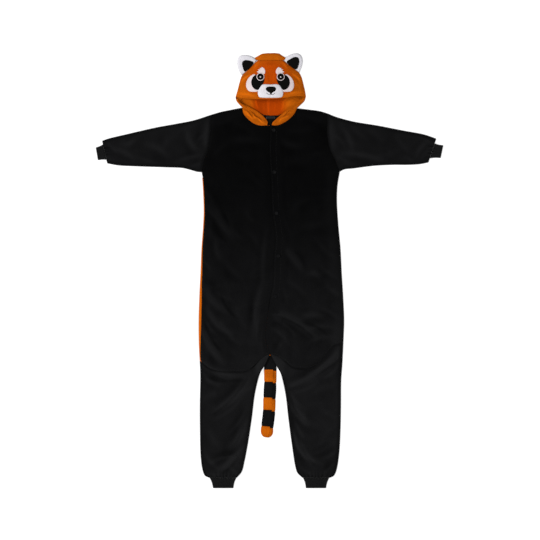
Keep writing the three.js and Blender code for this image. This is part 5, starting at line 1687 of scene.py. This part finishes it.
# ---- buttons
BUTTON_LOW = 3 * CLOTH + 4 * SEAM  # height of a button's underside
HOLE_AWAY = 1.6  # of a thread hole from the button's middle, across and along
BUTTON_PROFILE = np.array([
    (0.04, 1.7), (0.12, 1.7), (0.2, 1.7), (0.28, 1.7), (0.36, 1.72), (0.46, 1.8), (0.58, 2.0),
    (0.7, 2.35), (0.8, 2.58), (0.87, 2.6), (0.93, 2.5), (0.98, 2.2), (1.0, 1.7), (1.0, 0.9),
    (0.97, 0.35), (0.9, 0.0), (0.5, 0.0), (0.04, 0.0),
])


def button_x(y):
    """x of the button at height y: it keeps its distance from the closure's line."""
    return float(x_at(CENTRE, y)) + BUTTON_FROM_EDGE


def button(index, y):
    """A turned button: flat underside, raised rim, dished middle with four thread holes."""
    turn = 2 * np.pi * np.arange(56) / 56
    r, h = BUTTON_PROFILE[:, 0, None] * BUTTON_RADIUS, BUTTON_PROFILE[:, 1, None]
    px, py = r * np.cos(turn), r * np.sin(turn)
    holes = [(HOLE_AWAY * i, HOLE_AWAY * j) for i in (-1, 1) for j in (-1, 1)]
    away = np.minimum.reduce([np.hypot(px - hx, py - hy) for hx, hy in holes])
    sunk = 1.2 * smooth(1 - (away - 0.5) / 0.7) * (h > 1.5)
    sections = joined(button_x(y) + px, y + py, BUTTON_LOW + h - sunk)
    return rounds(f"button_{index}_turned", sections)


def button_thread(index, y, side):
    """One short bar of thread between two holes of a button; side is -1 or 1 along the front."""
    x, row, high = button_x(y), y + HOLE_AWAY * side, BUTTON_LOW + 2.0
    bar = np.array([(x - 1.7, row, high), (x, row, high + 0.1), (x + 1.7, row, high)])
    name = f"button_{index}_thread_{1 if side < 0 else 2}"
    return stitches(name, bar, 3.4, 3.6, 0.42, 0.0)


# ---- thread
def bead_faces(count):
    """Faces of `count` beads of six rings of six points and two tips: quads and end triangles."""
    i, j = np.meshgrid(np.arange(5), np.arange(6), indexing="ij")
    k = (j + 1) % 6
    quad = np.stack([i * 6 + j, (i + 1) * 6 + j, (i + 1) * 6 + k, i * 6 + k], -1).reshape(-1, 4)
    j, k = np.arange(6), (np.arange(6) + 1) % 6
    fan = np.concatenate(
        [np.stack([36 + 0 * j, j, k], -1), np.stack([37 + 0 * j, 30 + k, 30 + j], -1)]
    )
    start = (38 * np.arange(count))[:, None, None]
    return (quad[None] + start).reshape(-1, 4), (fan[None] + start).reshape(-1, 3)


def space_frame(path, count, reach):
    """Evenly spaced points of a path in space, with its unit directions ahead, across and up.
    `reach` is how far to both sides the direction is taken, as a share of the path."""
    at = along(path)
    share = (np.arange(count) + 0.5) / count
    ahead = at(clamp(share + reach)) - at(clamp(share - reach))
    ahead /= np.linalg.norm(ahead, axis=1)[:, None]
    across = np.cross(ahead, np.broadcast_to(np.array([0.0, 0.0, 1.0]), ahead.shape))
    across /= np.linalg.norm(across, axis=1)[:, None]
    return at(share), ahead, across, np.cross(across, ahead)


def stitches(name, path, pitch=3.6, length=2.5, radius=0.32, sink=0.1):
    """Running stitches along a path in space: each a six-sided bead drawn out along the path,
    fat in its middle, with both ends going down into the cloth."""
    total = np.linalg.norm(np.diff(path, axis=0), axis=1).sum()
    count = max(1, int(total / pitch))
    middle, ahead, across, up = space_frame(path, count, 0.4 * pitch / total)
    a = np.array([-0.5, -0.42, -0.2, 0.2, 0.42, 0.5])
    fat = np.array([0.25, 0.75, 1.0, 1.0, 0.75, 0.25])[:, None] * radius
    dip = np.array([-1.2, -0.6, 0, 0, -0.6, -1.2])[:, None] * radius
    turn = 2 * np.pi * np.arange(6) / 6
    ring = (
        middle[:, None, None]
        + ahead[:, None, None] * (a * length)[None, :, None, None]
        + across[:, None, None] * (fat * np.cos(turn))[None, :, :, None]
        + up[:, None, None] * (fat * np.sin(turn) + dip - sink)[None, :, :, None]
    )
    tips = middle[:, None] + ahead[:, None] * (np.array([-0.52, 0.52]) * length)[None, :, None]
    tips = tips + up[:, None] * (dip[0] - sink)
    vertices = np.concatenate([ring.reshape(count, 36, 3), tips], axis=1).reshape(-1, 3)
    quads, fans = bead_faces(count)
    values = {"ridge": np.zeros(len(vertices))}
    return write_mesh(name, vertices, quads, fans, vertices[quads][..., :2],
                      vertices[fans][..., :2], values)


def surface_tree(piece):
    """A search tree of a made piece's triangles, in metres."""
    mesh = piece.data
    mesh.calc_loop_triangles()
    points = np.empty(3 * len(mesh.vertices), np.float32)
    faces = np.empty(3 * len(mesh.loop_triangles), np.int32)
    mesh.vertices.foreach_get("co", points)
    mesh.loop_triangles.foreach_get("vertices", faces)
    return BVHTree.FromPolygons(points.reshape(-1, 3).tolist(), faces.reshape(-1, 3).tolist())


def surface_height(trees, x, y):
    """Highest surface straight below a plan point, in millimetres."""
    above, down = Vector((x * MM, y * MM, 1.0)), Vector((0, 0, -1))
    hits = [tree.ray_cast(above, down)[0] for tree in trees]
    return max([hit.z / MM for hit in hits if hit is not None], default=0.0)


def sewn(name, plan, pieces, kind, slot, **sizes):
    """Stitches along a plan path, on top of the named pieces."""
    trees = [surface_tree(bpy.data.objects[piece]) for piece in pieces]
    height = np.array([surface_height(trees, x, y) for x, y in plan]) + 0.05
    path = np.concatenate([plan, height[:, None]], axis=1)
    dress(stitches(name, path, **sizes), kind, slot)


FRONTS = ("front_left_fleece", "front_right_fleece")
BANDS = ("hood_band_right_fleece", "hood_band_left_fleece")
BACKS = ("hood_back_right_fleece", "hood_back_left_fleece")
BLACK_THREAD = ("black_thread", "black_felt")
ORANGE_THREAD = ("orange_thread", "orange_fleece")
WHITE_THREAD = ("white_thread", "white_fleece")


def sew_closure():
    """Two rows down the left front's doubled edge."""
    middle = smooth_line(CENTRE)(np.linspace(0.005, 0.755, 260))
    for k, away in enumerate((6.0, LAP - 2.0)):
        plan = middle + np.array([away, 0.0])
        sewn(f"closure_topstitch_{k + 1}", plan, FRONTS, *BLACK_THREAD)


def sew_hood_edges_and_thighs():
    """Rows along the brim, along the hood's front edges and above the thigh seams."""
    brim = smooth_line(BRIM)(np.linspace(0.02, 0.98, 160)) + np.array([0, 10.5])
    sewn("brim_topstitch", brim, ["face_panel_fleece"], *ORANGE_THREAD)
    for is_left, side in SIDES:
        inner = side_line(is_left, BAND_INNER_RIGHT, BAND_INNER_LEFT)(np.linspace(0.06, 0.86, 85))
        band = inner + np.array([5.5 if is_left else -5.5, -4.5])
        sewn(f"band_topstitch_{side}", band, BANDS, *ORANGE_THREAD)
        thigh = side_line(is_left, THIGH_RIGHT, THIGH_LEFT)(np.linspace(0.03, 0.97, 120))
        sewn(f"thigh_topstitch_{side}", thigh + np.array([0, 7.0]), FRONTS, *BLACK_THREAD)


def sew_hood_seam():
    """A row on both sides of the seam inside the hood."""
    for side, away in (("right", -4.5), ("left", 4.5)):
        plan = joined(np.full(60, BACK_SEAM_X + away), np.linspace(642, 700, 60))
        sewn(f"hood_seam_stitch_{side}", plan, BACKS, *ORANGE_THREAD, pitch=3.0, length=2.1,
             radius=0.26)


def sew_mouth():
    """The mouth: close fat stitches along its line."""
    mouth = smooth_line(MOUTH)(np.linspace(0, 1, 60))
    sewn("mouth_stitch", mouth, ["muzzle_pad"], *BLACK_THREAD, pitch=1.6, length=2.2, radius=0.95)


def sew_label():
    """A row at both ends of the label."""
    half_x, half_y = LABEL_HALF[0] - 1.5, LABEL_HALF[1] - 1.2
    y = LABEL_PLACE[1] + np.linspace(-half_y, half_y, 9)
    for k, away in enumerate((-half_x, half_x)):
        plan = joined(np.full(9, LABEL_PLACE[0] + away), y)
        sewn(f"label_stitch_{k + 1}", plan, ["bare_label"], *WHITE_THREAD, pitch=1.6, length=1.1,
             radius=0.2)


# ---- stage
FLOOR_HALF = 14000
FLOOR_DROP = 0.5  # the paper lies this far below the garment
FLOOR_THICK = 2.5
SENSOR = 36
LAMPS = [  # name, place and width in metres, power in watts
    ("key", (-7.4, 1.6, 5.6), 3.4, 1480),
    ("fill", (6.0, -5.0, 5.8), 4.0, 830),
]


def studio_lamp(name, place, width, power):
    """A square soft lamp that looks at the garment's middle."""
    lamp = bpy.data.lights.new(name, "AREA")
    lamp.shape = "SQUARE"
    lamp.size = width
    lamp.energy = power
    obj = bpy.data.objects.new(name, lamp)
    bpy.context.scene.collection.objects.link(obj)
    obj.location = place
    obj.rotation_euler = (-Vector(place)).to_track_quat("-Z", "Y").to_euler()


def studio_floor():
    """A wide sheet of paper: a square grid, level, a hair below the surface of the garment."""
    line = np.linspace(-FLOOR_HALF, FLOOR_HALF, 9)
    u, v = np.meshgrid(line, line)
    top = joined(u, v, 0 * u - FLOOR_DROP)
    under = joined(u, v, 0 * u - FLOOR_DROP - FLOOR_THICK)
    floor = shell("floor_paper", top, under, rounded=False)
    floor.data.materials.append(finish_of("paper"))


def straight_above(settings):
    """A long lens high above the middle of the garment."""
    camera = bpy.data.cameras.new("camera")
    camera.sensor_width = SENSOR
    camera.lens = SENSOR * settings.camera_height / settings.view_width
    camera.clip_start = 0.1
    camera.clip_end = 200
    obj = bpy.data.objects.new("camera", camera)
    bpy.context.scene.collection.objects.link(obj)
    obj.location = (settings.view_side, settings.view_middle, settings.camera_height)
    bpy.context.scene.camera = obj


# ---- settings
def colour_setting(name, description, default):
    """A colour that the user can change."""
    return FloatVectorProperty(name=name, description=description, default=default, size=3,
                               subtype="COLOR", min=0, max=1)


class OnesieSettings(PropertyGroup):
    """Sizes and colours of the onesie that a user would change."""

    loft: FloatProperty(
        name="Loft", description="How far the top layer stands off the one below, in mm",
        default=1.6, min=0.2, max=4.0,
    )
    crease: FloatProperty(
        name="Creases", description="Strength of the finer creases", default=1.0, min=0.0, max=2.0,
    )
    rumple: FloatProperty(
        name="Rumple", description="Height of the small irregular swells, in mm",
        default=0.8, min=0.0, max=3.0,
    )
    rib_depth: FloatProperty(
        name="Rib depth", description="Half the depth between two ribs of a cuff, in mm",
        default=0.7, min=0.1, max=1.2,
    )
    black: colour_setting(
        "Black fleece", "Front, sleeves, legs and dark rings", (0.0019, 0.0019, 0.002),
    )
    black_sheen: FloatProperty(
        name="Black sheen", description="Soft shine of the black nap", default=0.006, min=0, max=1,
        subtype="FACTOR",
    )
    orange: colour_setting(
        "Orange fleece", "Middle of the face", (0.244, 0.0312, 0.000654),
    )
    orange_light: colour_setting(
        "Light orange fleece", "Back, bright rings, crown and edges of the hood",
        (0.249, 0.0513, 0.00139),
    )
    # Painted shade: a darker copy of the orange for the inside of the hood and the side roll.
    orange_deep: colour_setting(
        "Shaded orange", "Inside of the hood", (0.206, 0.0237, 0.000391),
    )
    white: colour_setting(
        "White cloth", "Cheeks, brows and eyes", (0.379, 0.323, 0.327),
    )
    ear: colour_setting(
        "White fleece", "Ears", (0.418, 0.409, 0.435),
    )
    muzzle: colour_setting(
        "Muzzle", "Padded muzzle", (0.375, 0.363, 0.387),
    )
    face_black: colour_setting(
        "Black face cloth", "Eye patches, nose, ear linings and facing", (0.0022, 0.002, 0.0019),
    )
    rib: colour_setting(
        "Black rib", "Wrist and ankle cuffs", (0.00522, 0.00522, 0.0054),
    )
    label: colour_setting(
        "Label", "Bare label in the neck", (0.00937, 0.00937, 0.0102),
    )
    button: colour_setting(
        "Buttons", "Resin of the buttons", (0.00128, 0.00128, 0.00144),
    )
    view_width: FloatProperty(
        name="View width", description="Width of the surface that the camera takes in",
        default=2.2095, min=0.5, unit="LENGTH",
    )
    view_side: FloatProperty(
        name="View side", description="Place of the camera across the garment",
        default=0.0018, unit="LENGTH",
    )
    view_middle: FloatProperty(
        name="View middle", description="Place of the camera along the garment",
        default=0.0037, unit="LENGTH",
    )
    camera_height: FloatProperty(
        name="Camera height", description="Height of the camera above the surface",
        default=30.0, min=2.0, unit="LENGTH",
    )
    daylight: FloatProperty(
        name="Daylight", description="Strength of the even white surroundings",
        default=0.65, min=0.0, max=4.0,
    )


# ---- operators
class ONESIE_OT_stage(Operator):
    """Lays the paper floor and sets the soft lamps and the camera"""

    bl_idname = "onesie.stage"
    bl_label = "Stage"

    def execute(self, context):
        settings = context.scene.onesie
        straight_above(settings)
        studio_floor()
        world = bpy.data.worlds.new("studio")
        world.use_nodes = True
        background = world.node_tree.nodes["Background"]
        background.inputs["Color"].default_value = (1, 1, 1, 1)
        background.inputs["Strength"].default_value = settings.daylight
        context.scene.world = world
        for lamp in LAMPS:
            studio_lamp(*lamp)
        context.scene.view_settings.view_transform = "Standard"
        return {"FINISHED"}


class ONESIE_OT_body(Operator):
    """Makes both fronts and the back with its rolled side"""

    bl_idname = "onesie.body"
    bl_label = "Body"

    def execute(self, context):
        settings = context.scene.onesie
        back = dress(back_panel(), "orange_fleece", "orange_fleece", ["back"])
        # The side roll takes the darker orange: painted shade on its edge-on fold.
        roll = dress(side_roll(), "orange_deep", "orange_fleece")
        for is_left, side in SIDES:
            node = "front_" + side
            front = dress(front_panel(is_left, settings), "front_fleece", "black_fleece", [node])
        return {"FINISHED"}


class ONESIE_OT_limbs(Operator):
    """Makes both sleeves and both legs"""

    bl_idname = "onesie.limbs"
    bl_label = "Sleeves and legs"

    def execute(self, context):
        settings = context.scene.onesie
        kinds = ((sleeve, "sleeve_", "sleeve_fleece"), (leg, "leg_", "black_fleece"))
        for make, node, kind in kinds:
            for is_left, side in SIDES:
                limb = make(is_left, settings)
                dress(limb, kind, "black_fleece", [node + side])
        return {"FINISHED"}


class ONESIE_OT_cuffs(Operator):
    """Makes the four rib cuffs"""

    bl_idname = "onesie.cuffs"
    bl_label = "Rib cuffs"

    def execute(self, context):
        for name, ribs, sewn, free in CUFFS:
            cuff = rib_cuff(name, ribs, sewn, free, context.scene.onesie)
            dress(cuff, "black_rib", "black_rib", [name])
        return {"FINISHED"}


class ONESIE_OT_hood(Operator):
    """Makes the hood's backs, crown, front edges and face panel"""

    bl_idname = "onesie.hood"
    bl_label = "Hood"

    def execute(self, context):
        for is_left, side in SIDES:
            back = dress(hood_back(is_left), "orange_deep", "orange_fleece",
                         ["hood_back_" + side])
            band = dress(hood_band(is_left), "orange_light", "orange_fleece",
                         ["hood_band_" + side])
        top = dress(crown(), "orange_light", "orange_fleece", ["hood_crown"])
        panel = face_panel(context.scene.onesie)
        dress(panel, "face_fleece", "orange_fleece", ["hood_face"])
        return {"FINISHED"}


class ONESIE_OT_face(Operator):
    """Sews the cheeks, eye patches, eyes, brows, muzzle and nose on the face"""

    bl_idname = "onesie.face"
    bl_label = "Face"

    def execute(self, context):
        for is_left, side in SIDES:
            for name, outline, low, high, kind, slot in face_layers(is_left):
                patch = on_face(f"{name}_{side}_patch", outline, low, high)
                dress(patch, kind, slot, [f"{name}_{side}"])
        muzzle = on_face("muzzle_pad", closed_outline(MUZZLE, 150), SEAM, MUZZLE_TOP,
                         PAD_PROFILE, detail=muzzle_relief)
        dress(muzzle, "muzzle_cloth", "white_fleece", ["muzzle"])
        low = MUZZLE_TOP + 0.1
        nose = on_face("nose_pad", closed_outline(NOSE, 96), low, low + 2.4, PAD_PROFILE,
                       NOSE_MIDDLE)
        dress(nose, "black_cloth", "black_felt", ["nose"])
        return {"FINISHED"}


class ONESIE_OT_ears(Operator):
    """Makes both padded ears and their black linings"""

    bl_idname = "onesie.ears"
    bl_label = "Ears"

    def execute(self, context):
        for side, free, side_rows, share, rows, centre in EARS:
            pad = ear_pad(side, ear_outline(free, side_rows, share), centre)
            dress(pad, "white_fleece", "white_fleece", ["ear_" + side])
            lining = ear_lining(side, rows, centre)
            dress(lining, "black_cloth", "black_felt", ["ear_lining_" + side])
        return {"FINISHED"}


class ONESIE_OT_neck(Operator):
    """Makes the facing inside the neck and its bare label"""

    bl_idname = "onesie.neck"
    bl_label = "Neck"

    def execute(self, context):
        facing = dress(neck_facing(), "facing_cloth", "black_felt", ["neck_facing"])
        label = dress(bare_label(), "label_cloth", "black_felt", ["neck_label"])
        return {"FINISHED"}


class ONESIE_OT_tail(Operator):
    """Makes the seven stuffed rings of the tail"""

    bl_idname = "onesie.tail"
    bl_label = "Tail"

    def execute(self, context):
        for name, start, end, kind in TAIL_RINGS:
            slot = "black_fleece" if "black" in name else "orange_fleece"
            ring = dress(tail_ring(name, start, end), kind, slot, [name])
        return {"FINISHED"}


class ONESIE_OT_buttons(Operator):
    """Makes the five buttons and the thread that holds them"""

    bl_idname = "onesie.buttons"
    bl_label = "Buttons"

    def execute(self, context):
        for i, y in enumerate(BUTTON_ROWS, 1):
            dress(button(i, y), "button", "button_plastic", [f"button_{i}"])
            for side in (-1, 1):
                dress(button_thread(i, y, side), "black_thread", "black_felt")
        return {"FINISHED"}


class ONESIE_OT_stitching(Operator):
    """Sews the visible seams: closure, brim, front edges of the hood, thighs, the seam inside the
    hood, mouth and label
    """

    bl_idname = "onesie.stitching"
    bl_label = "Stitching"

    def execute(self, context):
        sew_closure()
        sew_hood_edges_and_thighs()
        sew_hood_seam()
        sew_mouth()
        sew_label()
        return {"FINISHED"}


class ONESIE_PT_panel(Panel):
    """Lists the onesie's settings and the steps that build it"""

    bl_label = "Onesie"
    bl_idname = "ONESIE_PT_panel"
    bl_space_type = "VIEW_3D"
    bl_region_type = "UI"
    bl_category = "Onesie"

    def draw(self, context):
        settings = context.scene.onesie
        for key in OnesieSettings.__annotations__:
            self.layout.prop(settings, key)
        for step in OPERATORS:
            self.layout.operator(step.bl_idname)


OPERATORS = [
    ONESIE_OT_stage,
    ONESIE_OT_body,
    ONESIE_OT_limbs,
    ONESIE_OT_cuffs,
    ONESIE_OT_hood,
    ONESIE_OT_face,
    ONESIE_OT_ears,
    ONESIE_OT_neck,
    ONESIE_OT_tail,
    ONESIE_OT_buttons,
    ONESIE_OT_stitching,
]
CLASSES = [OnesieSettings, *OPERATORS, ONESIE_PT_panel]


def register():
    """Makes the settings, steps and panel known to Blender."""
    for cls in CLASSES:
        bpy.utils.register_class(cls)
    bpy.types.Scene.onesie = PointerProperty(type=OnesieSettings)


def unregister():
    """Takes them away again, last first."""
    del bpy.types.Scene.onesie
    for cls in reversed(CLASSES):
        bpy.utils.unregister_class(cls)


def main():
    register()
    for step in OPERATORS:
        group, name = step.bl_idname.split(".")
        getattr(getattr(bpy.ops, group), name)()


if __name__ == "__main__":
    main()
